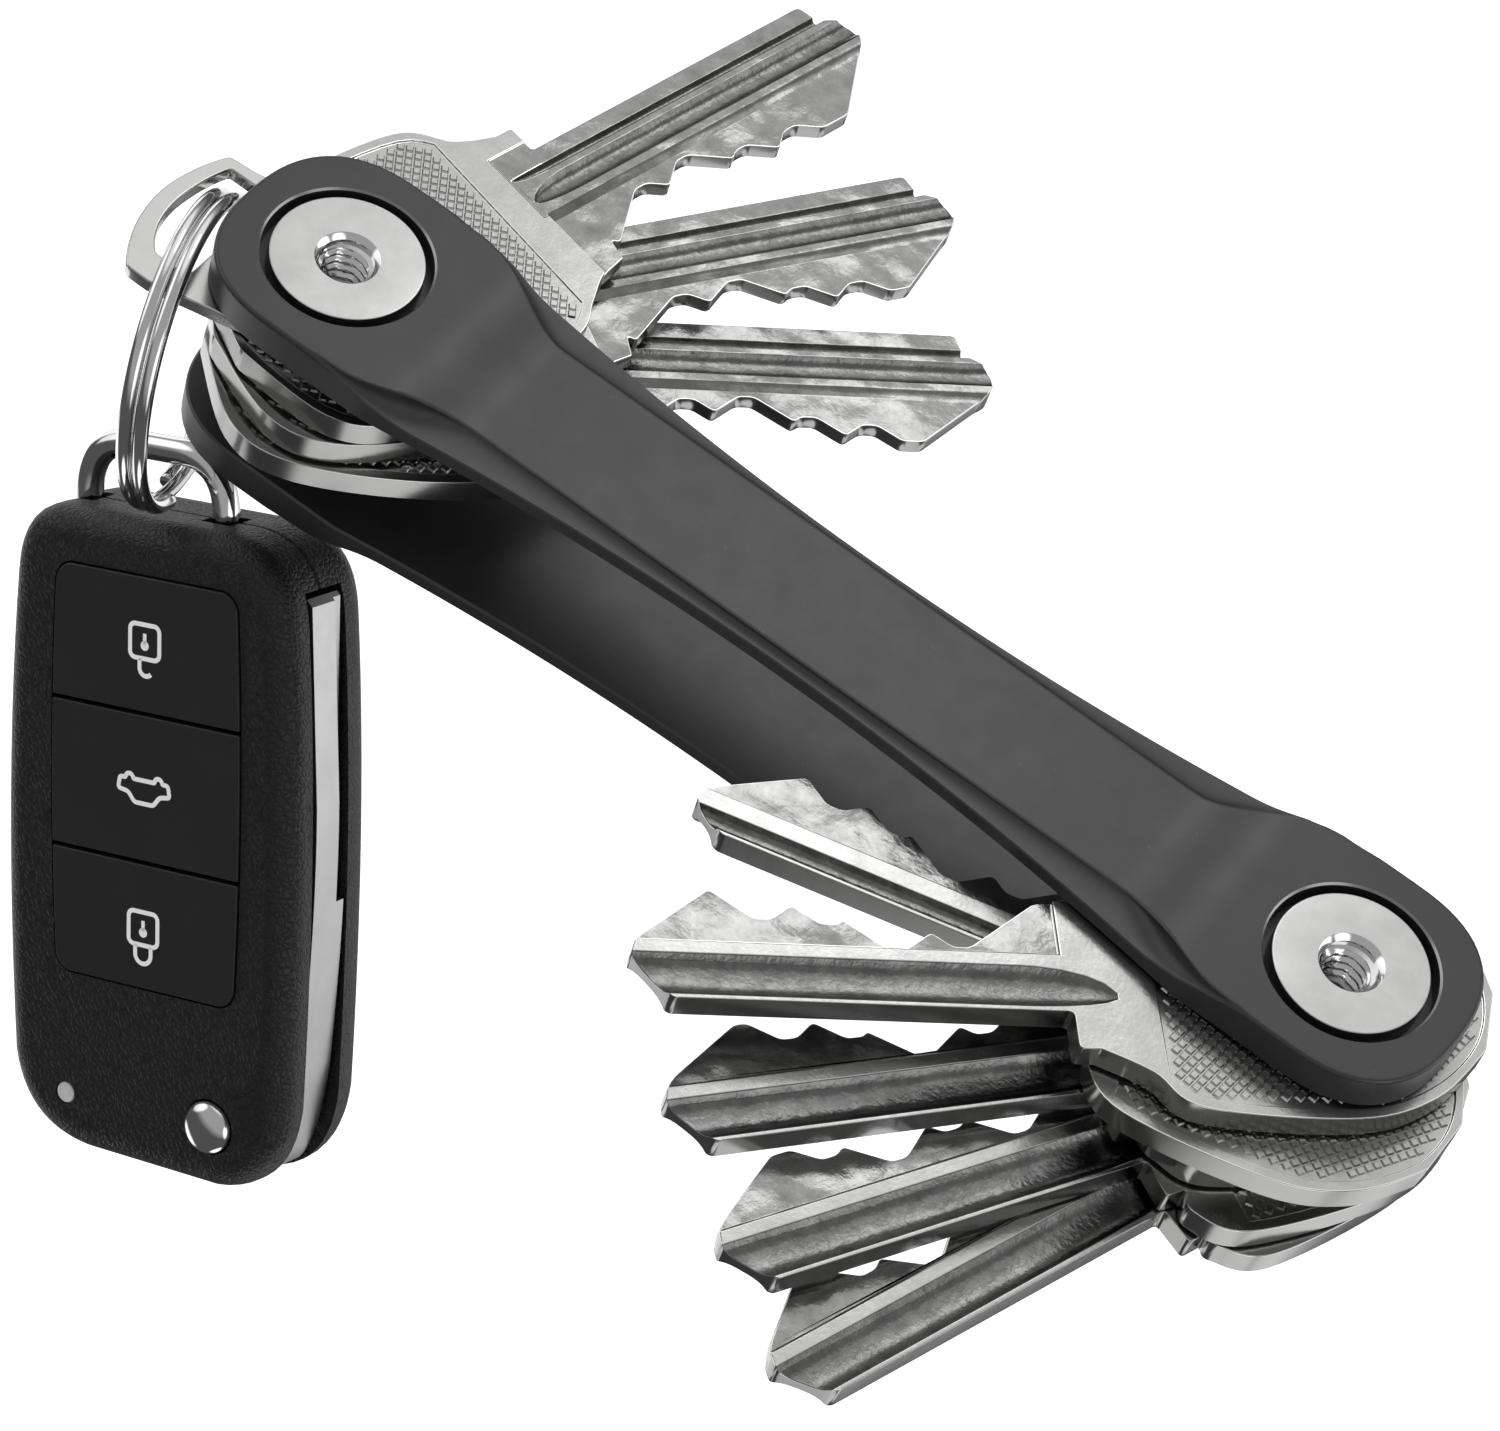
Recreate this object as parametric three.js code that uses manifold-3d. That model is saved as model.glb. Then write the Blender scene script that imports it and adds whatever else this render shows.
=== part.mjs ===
// Key organiser: two waisted plates clamped on two posts, eight keys that fold out between them,
// and a loop plate that carries a split ring and a flip-key remote.
//
// Millimetres. The origin is the centre of the rear plate's outer face, half way between the posts.
// +X runs to the right post, +Z to the front plate. Left and right are as seen from the front.

import * as THREE from 'three';
import { mergeVertices } from 'three/addons/utils/BufferGeometryUtils.js';
import Module from 'manifold-3d';

const wasm = await Module();
wasm.setup();

// ---- Driving dimensions ----

const postSpacing = 83.5;
const plate = {
  thickness: 3.0, padRise: 1.25, gap: 12.1, endHalf: 8.57, waistHalf: 5.87,
  faceHalf: 5.06, faceEnd: 32.5, rampStart: 26.5, rampEnd: 32.9, lip: 1.25,
};
const post = {
  barrel: 3.0, flange: 5.45, flangeThickness: 1.5, bore: 1.95, shank: 1.85, shankTop: 12.0,
  counterbore: 6.05, counterboreDepth: 1.7, slotWidth: 1.4, slotDepth: 0.8,
};
const keyThickness = 2.1;
const keyPitch = 2.42;
const runningGap = 0.05;
const restGap = 0.1;
const loopThickness = 1.15;
const spacerThickness = 1.75;
const ring = { radius: 11.13, wire: 1.1, pitch: 1.16, turns: 1.96 };
const fob = {
  left: 13.8, right: 13.0, endHalf: 12.0, top: 19.4, bottom: -29.5, depth: 10.6, seam: -4.8, edge: 2.2,
};

const rearInner = plate.thickness - plate.padRise;
const frontInner = rearInner + plate.gap;
const frontPad = frontInner + plate.thickness;
const rearPad = rearInner - plate.thickness;
const leftPost = -postSpacing / 2;
const rightPost = postSpacing / 2;

// ---- Materials ----

const metal = (color, roughness) => new THREE.MeshStandardMaterial({ color, roughness, metalness: 1 });
const plastic = (color, roughness) => new THREE.MeshStandardMaterial({ color, roughness, metalness: 0 });
const looks = {
  anodised: () => metal('#2b2b2d', 0.45),
  steel: () => metal('#b9b9b6', 0.35),
  bright: () => metal('#d6d6d4', 0.15),
  nickel: () => metal('#a7a8aa', 0.28),
  leather: () => plastic('#161616', 0.6),
  cap: () => plastic('#1a1a1b', 0.5),
  lens: () => plastic('#8d8f92', 0.3),
  board: () => plastic('#1d5b36', 0.55),
};

// ---- Solids ----

const degrees = THREE.MathUtils.degToRad;

function toSolid(geometry) {
  const bare = geometry.clone();
  bare.deleteAttribute('normal');
  bare.deleteAttribute('uv');
  const merged = mergeVertices(bare, 1e-4);
  return new wasm.Manifold(new wasm.Mesh({
    numProp: 3,
    vertProperties: new Float32Array(merged.attributes.position.array),
    triVerts: new Uint32Array(merged.index.array),
  }));
}

function toGeometry(solid) {
  const mesh = solid.getMesh();
  const geometry = new THREE.BufferGeometry();
  geometry.setAttribute('position', new THREE.Float32BufferAttribute(mesh.vertProperties, 3));
  geometry.setIndex(new THREE.Uint32BufferAttribute(mesh.triVerts, 1));
  geometry.computeVertexNormals();
  return geometry;
}

function cylinder(radius, z0, z1, sides = 32, x = 0, y = 0) {
  const geometry = new THREE.CylinderGeometry(radius, radius, z1 - z0, sides);
  geometry.rotateX(Math.PI / 2);
  geometry.translate(x, y, (z0 + z1) / 2);
  return toSolid(geometry);
}

function block(x0, x1, y0, y1, z0, z1) {
  const geometry = new THREE.BoxGeometry(x1 - x0, y1 - y0, z1 - z0);
  geometry.translate((x0 + x1) / 2, (y0 + y1) / 2, (z0 + z1) / 2);
  return toSolid(geometry);
}

function prism(shape, z0, z1, bevel = 0, curveSegments = 6) {
  const geometry = new THREE.ExtrudeGeometry(shape, {
    depth: z1 - z0 - 2 * bevel,
    bevelEnabled: bevel > 0,
    bevelThickness: bevel,
    bevelSize: bevel,
    bevelOffset: -bevel,
    bevelSegments: 2,
    curveSegments,
  });
  geometry.translate(0, 0, z0 + bevel);
  return toSolid(geometry);
}

function roundedRectangle(x0, x1, y0, y1, r) {
  const shape = new THREE.Shape();
  shape.absarc(x1 - r, y1 - r, r, 0, Math.PI / 2);
  shape.absarc(x0 + r, y1 - r, r, Math.PI / 2, Math.PI);
  shape.absarc(x0 + r, y0 + r, r, Math.PI, Math.PI * 1.5);
  shape.absarc(x1 - r, y0 + r, r, Math.PI * 1.5, Math.PI * 2);
  shape.closePath();
  return shape;
}

function addPiece(group, name, solid, material) {
  const mesh = new THREE.Mesh(toGeometry(solid), material);
  mesh.name = name;
  group.add(mesh);
  return mesh;
}

// ---- Plates ----

function plateHalfWidth(x) {
  const flare = plate.waistHalf + 1.265 * (x / 23) ** 2;
  const beyond = Math.max(0, Math.abs(x) - rightPost) / plate.endHalf;
  return Math.min(flare, plate.endHalf) * (1 - Math.min(1, beyond) ** 2.5) ** 0.4;
}

function faceHalfWidth(x) {
  const widening = THREE.MathUtils.smoothstep(x, plate.rampStart, plate.faceEnd + 4);
  return THREE.MathUtils.lerp(plate.faceHalf, plate.endHalf - 0.3, widening);
}

// A shape that is symmetric about both axes, from its half width at a few places along +X.
function waistedShape(places, halfWidth) {
  const side = places.map((x) => new THREE.Vector2(x, halfWidth(x)));
  const mirrored = [...side].reverse().map((p) => new THREE.Vector2(-p.x, p.y));
  const upper = [...mirrored, ...side.slice(1)];
  const lower = [...upper].reverse().map((p) => new THREE.Vector2(p.x, -p.y));
  return new THREE.Shape([...upper, ...lower.filter((p) => p.y < 0)]);
}

function buildPlate() {
  const straight = [0, 8, 16, 23, 29, 33, 38, rightPost];
  const cap = [0.3, 0.52, 0.7, 0.84, 0.93, 0.98, 1].map((t) => rightPost + plate.endHalf * t);
  const body = prism(waistedShape([...straight, ...cap], plateHalfWidth), 0, plate.thickness);
  const waistTop = plate.thickness - plate.padRise;

  const ramp = [0, 0.2, 0.4, 0.6, 0.8, 1].map((t) => new THREE.Vector2(
    THREE.MathUtils.lerp(plate.rampStart, plate.rampEnd, t),
    waistTop + plate.padRise * THREE.MathUtils.smoothstep(t, 0, 1),
  ));
  const profile = new THREE.Shape([
    ...ramp,
    new THREE.Vector2(plate.rampEnd, plate.thickness + 1),
    new THREE.Vector2(-plate.rampEnd, plate.thickness + 1),
    ...[...ramp].reverse().map((p) => new THREE.Vector2(-p.x, p.y)),
  ]);
  const recess = new THREE.ExtrudeGeometry(profile, { depth: 30, bevelEnabled: false });
  recess.translate(0, 0, -15);
  recess.rotateX(Math.PI / 2);

  const shoulderPlaces = [0, 16, plate.rampStart, 28.5, 30.5, 32.5, 36.5];
  const raised = prism(waistedShape(shoulderPlaces, faceHalfWidth), 0, plate.thickness + 1);
  const shoulderBand = block(-36.4, 36.4, -12, 12, plate.lip, plate.thickness + 1);
  let solid = body.subtract(toSolid(recess)).subtract(shoulderBand.subtract(raised));
  for (const x of [leftPost, rightPost]) {
    const seat = plate.thickness - post.counterboreDepth;
    solid = solid
      .subtract(cylinder(post.counterbore, seat, plate.thickness + 1, 40, x))
      .subtract(cylinder(post.barrel + runningGap, -1, plate.thickness, 32, x));
  }
  return solid;
}

// ---- Posts: a flanged, tapped barrel from the front and a coin-slotted screw from the rear ----

function buildBarrel(x) {
  const flangeTop = frontPad - post.counterboreDepth + restGap + post.flangeThickness;
  const barrelEnd = rearInner - 0.8;
  return cylinder(post.flange, flangeTop - post.flangeThickness, flangeTop, 40, x)
    .add(cylinder(post.barrel, barrelEnd, flangeTop - 0.5, 32, x))
    .subtract(cylinder(post.bore, barrelEnd - 1, flangeTop + 1, 24, x));
}

function buildScrew(x) {
  const headTop = rearPad + post.counterboreDepth - restGap;
  const headBottom = headTop - post.flangeThickness;
  const slotHalf = post.slotWidth / 2;
  const slot = block(x - 8, x + 8, -slotHalf, slotHalf, headBottom - 1, headBottom + post.slotDepth);
  return cylinder(post.flange, headBottom, headTop, 40, x)
    .add(cylinder(post.shank, headTop - 0.5, post.shankTop, 24, x))
    .subtract(slot);
}

function buildSpacer(x, bottom) {
  return cylinder(5.2, bottom, bottom + spacerThickness, 32, x)
    .subtract(cylinder(post.barrel + runningGap, bottom - 1, bottom + 3, 32, x));
}

// ---- Keys ----
// A key lies along +X from its post hole, its teeth on the -Y side, its top face at z = 0.

const bitting = { flat: 1.1, slope: 0.75, pitch: 4.4 };
const blanks = {
  left: {
    end: -8.7, back: 3.0, uncut: -6.6, firstCut: 4.8,
    upper: [[-7.0, 5.4], [-2.6, 8.7], [4.5, 10.1], [13.0, 9.4], [16.2, 6.6]],
    lower: [
      [-7.4, -7.4], [-3.6, -10.8], [4.5, -12.1], [12.2, -11.7], [15.2, -9.9], [17.4, -8.5], [19.9, -7.9],
    ],
  },
  right: {
    end: -10.9, back: 2.6, uncut: -5.9, firstCut: 6.9,
    upper: [[-9.6, 4.5], [-5.6, 8.2], [0, 10.0], [10.4, 9.55], [13.6, 7.0]],
    lower: [[-9.6, -4.5], [-5.6, -8.2], [0, -10.0], [10.4, -9.55], [13.6, -7.0]],
  },
};
const neckHalf = 5.35;

function bittingPoints(cuts, start, uncut) {
  const points = [];
  cuts.forEach((depth, i) => {
    const s = start + i * bitting.pitch;
    points.push([s - bitting.flat / 2, uncut + depth], [s + bitting.flat / 2, uncut + depth]);
    if (i === cuts.length - 1) return;
    const next = cuts[i + 1];
    const middle = s + bitting.pitch / 2 + (depth - next) / (2 * bitting.slope);
    const rise = (depth + next) / 2 - bitting.slope * (bitting.pitch - bitting.flat) / 2;
    points.push([middle, uncut + Math.max(0, rise)]);
  });
  return points;
}

function keyShape(key) {
  const blank = blanks[key.side];
  const { shoulder, tip, cuts, back = blank.back, bowReach = 1 } = key;
  const upper = blank.upper.map(([s, n]) => new THREE.Vector2(s, n * bowReach));
  const lower = blank.lower.map(([s, n]) => new THREE.Vector2(s, n));
  const start = shoulder + blank.firstCut;
  const firstRise = start - bitting.flat / 2 - cuts[0] / bitting.slope;
  const lastCut = start + (cuts.length - 1) * bitting.pitch;
  const lastFall = lastCut + bitting.flat / 2 + cuts.at(-1) / bitting.slope;
  const shape = new THREE.Shape();
  shape.moveTo(blank.end, 0);
  shape.splineThru(lower);
  shape.lineTo(Math.max(shoulder - 1.5, lower.at(-1).x + 0.3), -neckHalf - 0.9);
  shape.lineTo(Math.max(shoulder, lower.at(-1).x + 0.6), blank.uncut);
  shape.lineTo(firstRise, blank.uncut);
  for (const [s, n] of bittingPoints(cuts, start, blank.uncut)) shape.lineTo(s, n);
  shape.lineTo(lastFall, blank.uncut);
  shape.lineTo(Math.max(lastFall + 0.3, tip - 6.0), blank.uncut);
  shape.lineTo(tip - 1.6, -3.0);
  shape.quadraticCurveTo(tip, -2.0, tip, -0.6);
  if (key.side === 'left') shape.quadraticCurveTo(tip - 0.2, 0.6, tip - 2.0, 1.2);
  shape.lineTo(tip - 2.4, back);
  shape.lineTo(shoulder, back);
  shape.lineTo(shoulder, neckHalf);
  shape.lineTo(shoulder - 1.5, neckHalf);
  shape.splineThru([...upper].reverse());
  shape.closePath();
  return shape;
}

function buildKey(key) {
  const body = prism(keyShape(key), -keyThickness, 0, 0, 3);
  const groove = { low: -1.7, high: 0.9, depth: 0.5 };
  const grooveStart = key.shoulder + 1.2;
  let solid = body.translate([0, key.offset, 0]);
  for (const [z0, z1] of [[-groove.depth, 1], [-keyThickness - 1, groove.depth - keyThickness]]) {
    const [low, high] = [key.offset + groove.low, key.offset + groove.high];
    solid = solid.subtract(block(grooveStart, key.tip + 2, low, high, z0, z1));
  }
  return solid.subtract(cylinder(post.barrel + runningGap, -5, 5, 32));
}

const firstKeyTop = { left: frontInner - 1.36, right: frontInner - 0.16 };
const keys = [
  { turn: -139.6, offset: 0, shoulder: 18.4, tip: 47.4, cuts: [3.6, 4.0, 2.2, 2.0] },
  { turn: -164, offset: 4.6, shoulder: 15.0, tip: 43.7, cuts: [2.4, 3.1, 1.4, 1.3], back: 1.3 },
  { turn: -129.6, offset: 0.2, shoulder: 15.9, tip: 45.4, cuts: [2.9, 3.9, 2.0, 1.5] },
  { turn: -119.6, offset: 2.0, shoulder: 14.8, tip: 44.6, cuts: [3.6, 2.0, 2.9, 1.3] },
  { turn: -109.3, offset: 2.0, shoulder: 15.2, tip: 44.9, cuts: [1.5, 3.0, 3.9, 2.4], bowReach: 0.93 },
  { turn: 77.3, offset: 0, shoulder: 20.6, tip: 49.4, cuts: [3.0, 3.4, 1.8, 1.3] },
  { turn: 57.7, offset: 0.45, shoulder: 20.6, tip: 48.4, cuts: [3.0, 3.4, 1.8, 1.3] },
  { turn: 41.8, offset: 0.1, shoulder: 20.6, tip: 48.4, cuts: [3.0, 3.4, 1.8, 1.3] },
].map((key, index) => {
  const side = key.turn < 0 ? 'right' : 'left';
  const layer = side === 'right' ? index : index - 5;
  return { ...key, side, layer, name: `key_${side}_${layer + 1}` };
});

// ---- Loop plate and split ring ----

function buildLoopPlate() {
  const shape = new THREE.Shape();
  shape.absarc(0, 0, 7.6, degrees(-105), degrees(118));
  shape.lineTo(-9.9, 3.9);
  shape.lineTo(-12.7, 3.7);
  shape.quadraticCurveTo(-14.1, 0.9, -14.2, -2.1);
  shape.quadraticCurveTo(-14.1, -6.2, -11.6, -9.2);
  shape.lineTo(-9.7, -9.2);
  shape.closePath();
  const hole = new THREE.Shape();
  hole.moveTo(-8.1, -6.8);
  hole.lineTo(-8.1, 2.8);
  hole.lineTo(-11.9, 2.8);
  hole.quadraticCurveTo(-12.7, 0.8, -12.8, -2.0);
  hole.quadraticCurveTo(-12.7, -5.2, -10.9, -6.8);
  hole.closePath();
  const top = frontInner - restGap;
  return prism(shape, top - loopThickness, top, 0, 5)
    .subtract(prism(hole, top - 3, top + 1, 0, 5))
    .subtract(cylinder(post.barrel + runningGap, top - 3, top + 1, 32));
}

class SplitRingPath extends THREE.Curve {
  getPoint(t, target = new THREE.Vector3()) {
    const angle = t * ring.turns * Math.PI * 2;
    const crossing = THREE.MathUtils.smoothstep(t, 0.4, 0.6);
    const x = ring.radius * Math.cos(angle);
    const y = ring.radius * Math.sin(angle);
    return target.set(x, y, ring.pitch * (crossing - 0.5));
  }
}

function tube(path, radius, steps, sides = 8) {
  const section = new THREE.Shape().absarc(0, 0, radius, 0, Math.PI * 2);
  const options = { extrudePath: path, steps, bevelEnabled: false, curveSegments: sides / 2 };
  return new THREE.ExtrudeGeometry(section, options);
}

// ---- Flip-key remote ----
// Its own frame: origin in the middle of the button face, +Y towards the bail, +Z out of the face.

const panel = { half: 8.55, top: 15.75, divider: 5.55, bottom: -15.2, gap: 0.15, depth: 1.7 };
const hub = { x: 5.9, y: -24.4, radius: 4.2, sweep: 6.4 };
const folded = { inner: 7.4, outer: 12.75, top: 15.2, front: -3.3, rear: -6.3 };
const release = { radius: 1.8 };
const cavity = { x0: -10.6, x1: 5.6, y0: -14.6, y1: 13.6, front: -2.3, rear: -8.4 };
const fobScrew = { x: -6.5, y: -20.4 };
const led = { x: -7.2, y: -24.6 };
const bail = { left: -8.8, right: 3.4, y: 23.8, corner: 4.2, wire: 1.0, z: -4.8, foot: 16.2 };

function fobOutline() {
  const shape = new THREE.Shape();
  const { left, right, endHalf: e, top, bottom } = fob;
  shape.moveTo(-e + 3.6, top);
  shape.lineTo(e - 5.5, top);
  shape.quadraticCurveTo(e - 0.3, top - 0.4, e + 0.1, top - 6);
  shape.quadraticCurveTo(right + 0.2, -2, e + 0.2, bottom + 7);
  shape.quadraticCurveTo(e - 0.6, bottom + 0.8, e - 6, bottom + 0.1);
  shape.lineTo(-e + 6, bottom + 0.5);
  shape.quadraticCurveTo(-e + 0.1, bottom + 1.2, -e - 0.9, bottom + 7);
  shape.quadraticCurveTo(-left - 0.3, -2, -e - 0.6, top - 5);
  shape.quadraticCurveTo(-e - 0.2, top - 0.3, -e + 3.6, top);
  return shape;
}

function bladeSlot(z0, z1) {
  return block(folded.inner - 0.4, 20, hub.y, folded.top + 0.5, z0, z1)
    .add(cylinder(hub.sweep, z0, z1, 32, hub.x, hub.y))
    .add(block(hub.x - hub.sweep, 20, -40, hub.y + 1.4, z0, z1));
}

function bailPath(radius) {
  const { left, right, y, corner, foot, z } = bail;
  const curve = new THREE.CurvePath();
  const at = (px, py) => new THREE.Vector3(px, py, z);
  const start = foot - radius + 1;
  curve.add(new THREE.LineCurve3(at(left, start), at(left, y - corner)));
  curve.add(new THREE.QuadraticBezierCurve3(at(left, y - corner), at(left, y), at(left + corner, y)));
  curve.add(new THREE.LineCurve3(at(left + corner, y), at(right - corner, y)));
  curve.add(new THREE.QuadraticBezierCurve3(at(right - corner, y), at(right, y), at(right, y - corner)));
  curve.add(new THREE.LineCurve3(at(right, y - corner), at(right, start)));
  return curve;
}

function bailSockets() {
  const reach = bail.wire + 0.3;
  return [bail.left, bail.right]
    .map((x) => block(x - reach, x + reach, bail.foot - 0.3, 30, bail.z - reach, bail.z + reach))
    .reduce((all, one) => all.add(one));
}

function buildFrontShell() {
  const window = prism(roundedRectangle(-panel.half, panel.half, panel.bottom, panel.top, 1.6), -2.4, 1);
  const ledHole = cylinder(0.75, -5, 1, 20, led.x, led.y);
  const releaseHole = cylinder(release.radius + 0.1, -5, 1, 24, hub.x, hub.y);
  return prism(fobOutline(), fob.seam + 0.05 - fob.edge, 0, fob.edge, 6)
    .intersect(block(-20, 20, -40, 40, fob.seam + 0.05, 1))
    .subtract(window)
    .subtract(block(cavity.x0, cavity.x1, cavity.y0, cavity.y1, -5, cavity.front))
    .subtract(bladeSlot(-5, folded.front + 0.35))
    .subtract(ledHole)
    .subtract(releaseHole)
    .subtract(bailSockets());
}

function buildRearShell() {
  const screwHole = cylinder(1.0, -12, 1, 20, fobScrew.x, fobScrew.y)
    .add(cylinder(1.9, -12, -9.1, 20, fobScrew.x, fobScrew.y));
  return prism(fobOutline(), -fob.depth, fob.seam - 0.05 + fob.edge, fob.edge, 6)
    .intersect(block(-20, 20, -40, 40, -12, fob.seam - 0.05))
    .subtract(block(cavity.x0, cavity.x1, cavity.y0, cavity.y1, cavity.rear, 0))
    .subtract(bladeSlot(folded.rear - 0.35, 0))
    .subtract(cylinder(3.3, -9.2, 0, 28, hub.x, hub.y))
    .subtract(screwHole)
    .subtract(bailSockets());
}

function buildButton(y0, y1) {
  const { half, top, bottom, gap, depth } = panel;
  const whole = roundedRectangle(-half + gap, half - gap, bottom + gap, top - gap, 1.5);
  return prism(whole, -depth, 0.15, 0.15, 3).intersect(block(-half, half, y0 + gap, y1 - gap, -5, 1));
}

function buildHub() {
  const disc = cylinder(hub.radius, folded.rear, folded.front, 32, hub.x, hub.y);
  const pocket = cylinder(1.3, folded.rear - 1, folded.front + 1, 20, hub.x, hub.y);
  return disc.subtract(pocket);
}

function buildFoldedBlade() {
  const shape = new THREE.Shape();
  shape.moveTo(folded.inner, folded.top);
  shape.lineTo(folded.inner, hub.y + 1.2);
  shape.lineTo(hub.x + 3.2, hub.y - 3.6);
  shape.quadraticCurveTo(10.8, -26.2, 11.7, -20);
  shape.quadraticCurveTo(folded.outer + 0.1, -8, folded.outer, 0);
  shape.lineTo(12.1, folded.top - 0.5);
  shape.lineTo(11.6, folded.top);
  shape.closePath();
  const milled = block(8.8, 10.6, -16, folded.top + 1, folded.front - 0.6, 0);
  return prism(shape, folded.rear, folded.front)
    .subtract(milled)
    .subtract(cylinder(hub.radius + runningGap, -10, 0, 32, hub.x, hub.y));
}

class HubSpringPath extends THREE.Curve {
  getPoint(t, target = new THREE.Vector3()) {
    const angle = t * Math.PI * 2 * 3;
    return target.set(hub.x + 2.4 * Math.cos(angle), hub.y + 2.4 * Math.sin(angle), -8.8 + 2.0 * t);
  }
}

function buildReleaseButton() {
  const dome = new THREE.LatheGeometry([
    [0, -1.6], [release.radius, -1.6], [release.radius, 0.2], [release.radius - 0.5, 0.65], [0, 0.8],
  ].map(([r, y]) => new THREE.Vector2(r, y)), 24);
  dome.rotateX(Math.PI / 2);
  dome.translate(hub.x, hub.y, 0);
  return toSolid(dome).add(cylinder(1.15, -2.7, -1.5, 20, hub.x, hub.y));
}

function buildFob() {
  const group = new THREE.Group();
  addPiece(group, 'fob_front_shell', buildFrontShell(), looks.leather());
  addPiece(group, 'fob_rear_shell', buildRearShell(), looks.leather());
  const rows = {
    unlock: [panel.divider, panel.top],
    boot: [-panel.divider, panel.divider],
    lock: [panel.bottom, -panel.divider],
  };
  for (const [name, [y0, y1]] of Object.entries(rows)) {
    addPiece(group, `fob_button_${name}`, buildButton(y0, y1), looks.cap());
  }
  addPiece(group, 'fob_led_window', cylinder(0.65, -1.6, 0, 20, led.x, led.y), looks.lens());
  addPiece(group, 'fob_release_button', buildReleaseButton(), looks.bright());
  addPiece(group, 'fob_blade', buildFoldedBlade(), looks.steel());
  addPiece(group, 'fob_blade_hub', buildHub(), looks.nickel());
  addPiece(group, 'fob_hub_spring', toSolid(tube(new HubSpringPath(), 0.25, 60, 6)), looks.steel());
  const inset = 0.4;
  const { x0, x1, y0, y1 } = cavity;
  const board = roundedRectangle(x0 + inset, x1 - inset, y0 + inset, y1 - inset, 1);
  addPiece(group, 'fob_circuit_board', prism(board, -3.9, -3.1), looks.board());
  addPiece(group, 'fob_battery', cylinder(7.6, -7.4, -5.4, 36, -2.5, -0.5), looks.bright());
  addPiece(group, 'fob_bail', toSolid(tube(bailPath(bail.wire), bail.wire, 40)), looks.bright());
  const screw = cylinder(1.7, -10.3, -9.3, 20, fobScrew.x, fobScrew.y)
    .add(cylinder(0.85, -9.4, -5.6, 16, fobScrew.x, fobScrew.y));
  addPiece(group, 'fob_screw', screw, looks.steel());
  return group;
}

// ---- Assembly ----

function turnedAxes(x, y, z) {
  return new THREE.Quaternion().setFromRotationMatrix(new THREE.Matrix4().makeBasis(x, y, z));
}

const organiser = new THREE.Group();

const frontPlate = addPiece(organiser, 'front_plate', buildPlate(), looks.anodised());
frontPlate.position.z = frontInner;
const rearPlate = addPiece(organiser, 'rear_plate', buildPlate(), looks.anodised());
rearPlate.position.z = rearInner;
rearPlate.rotation.x = Math.PI;

for (const [side, x] of [['left', leftPost], ['right', rightPost]]) {
  addPiece(organiser, `post_barrel_${side}`, buildBarrel(x), looks.nickel());
  addPiece(organiser, `post_screw_${side}`, buildScrew(x), looks.nickel());
}
for (const index of [1, 2]) {
  const bottom = rearInner + restGap + (index - 1) * (spacerThickness + restGap);
  addPiece(organiser, `spacer_left_${index}`, buildSpacer(leftPost, bottom), looks.nickel());
}

for (const key of keys) {
  const mesh = addPiece(organiser, key.name, buildKey(key), looks.steel());
  mesh.position.x = key.side === 'left' ? leftPost : rightPost;
  mesh.position.z = firstKeyTop[key.side] - key.layer * keyPitch;
  mesh.rotation.z = degrees(key.turn);
}

const loopPlate = addPiece(organiser, 'loop_plate', buildLoopPlate(), looks.nickel());
loopPlate.position.x = leftPost;

const coil = toSolid(tube(new SplitRingPath(), ring.wire / 2, 84));
const splitRing = addPiece(organiser, 'split_ring', coil, looks.bright());
const ringAxis = new THREE.Vector3(0.943, 0.298, 0.148).normalize();
splitRing.position.set(-49.45, -5.16, 4.23);
splitRing.quaternion.setFromUnitVectors(new THREE.Vector3(0, 0, 1), ringAxis);

const remote = buildFob();
const fobFront = new THREE.Vector3(-0.138, -0.893, 0.427).normalize();
const fobRight = new THREE.Vector3(0.874, 0.094, 0.477).projectOnPlane(fobFront).normalize();
const fobUp = new THREE.Vector3().crossVectors(fobFront, fobRight);
remote.position.set(-36.77, -21.05, -20.56);
remote.quaternion.copy(turnedAxes(fobRight, fobUp, fobFront));
organiser.add(remote);

export default organiser;
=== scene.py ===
"""Key organiser: the detailed visual model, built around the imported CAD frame.

Lengths inside the builders are millimetres in the part's own frame, and `place` turns them into
metres. +Z points out of the front plate and +X runs to the post of the five right keys.
"""

import math

import bmesh
import bpy
from mathutils import Matrix, Vector


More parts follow.
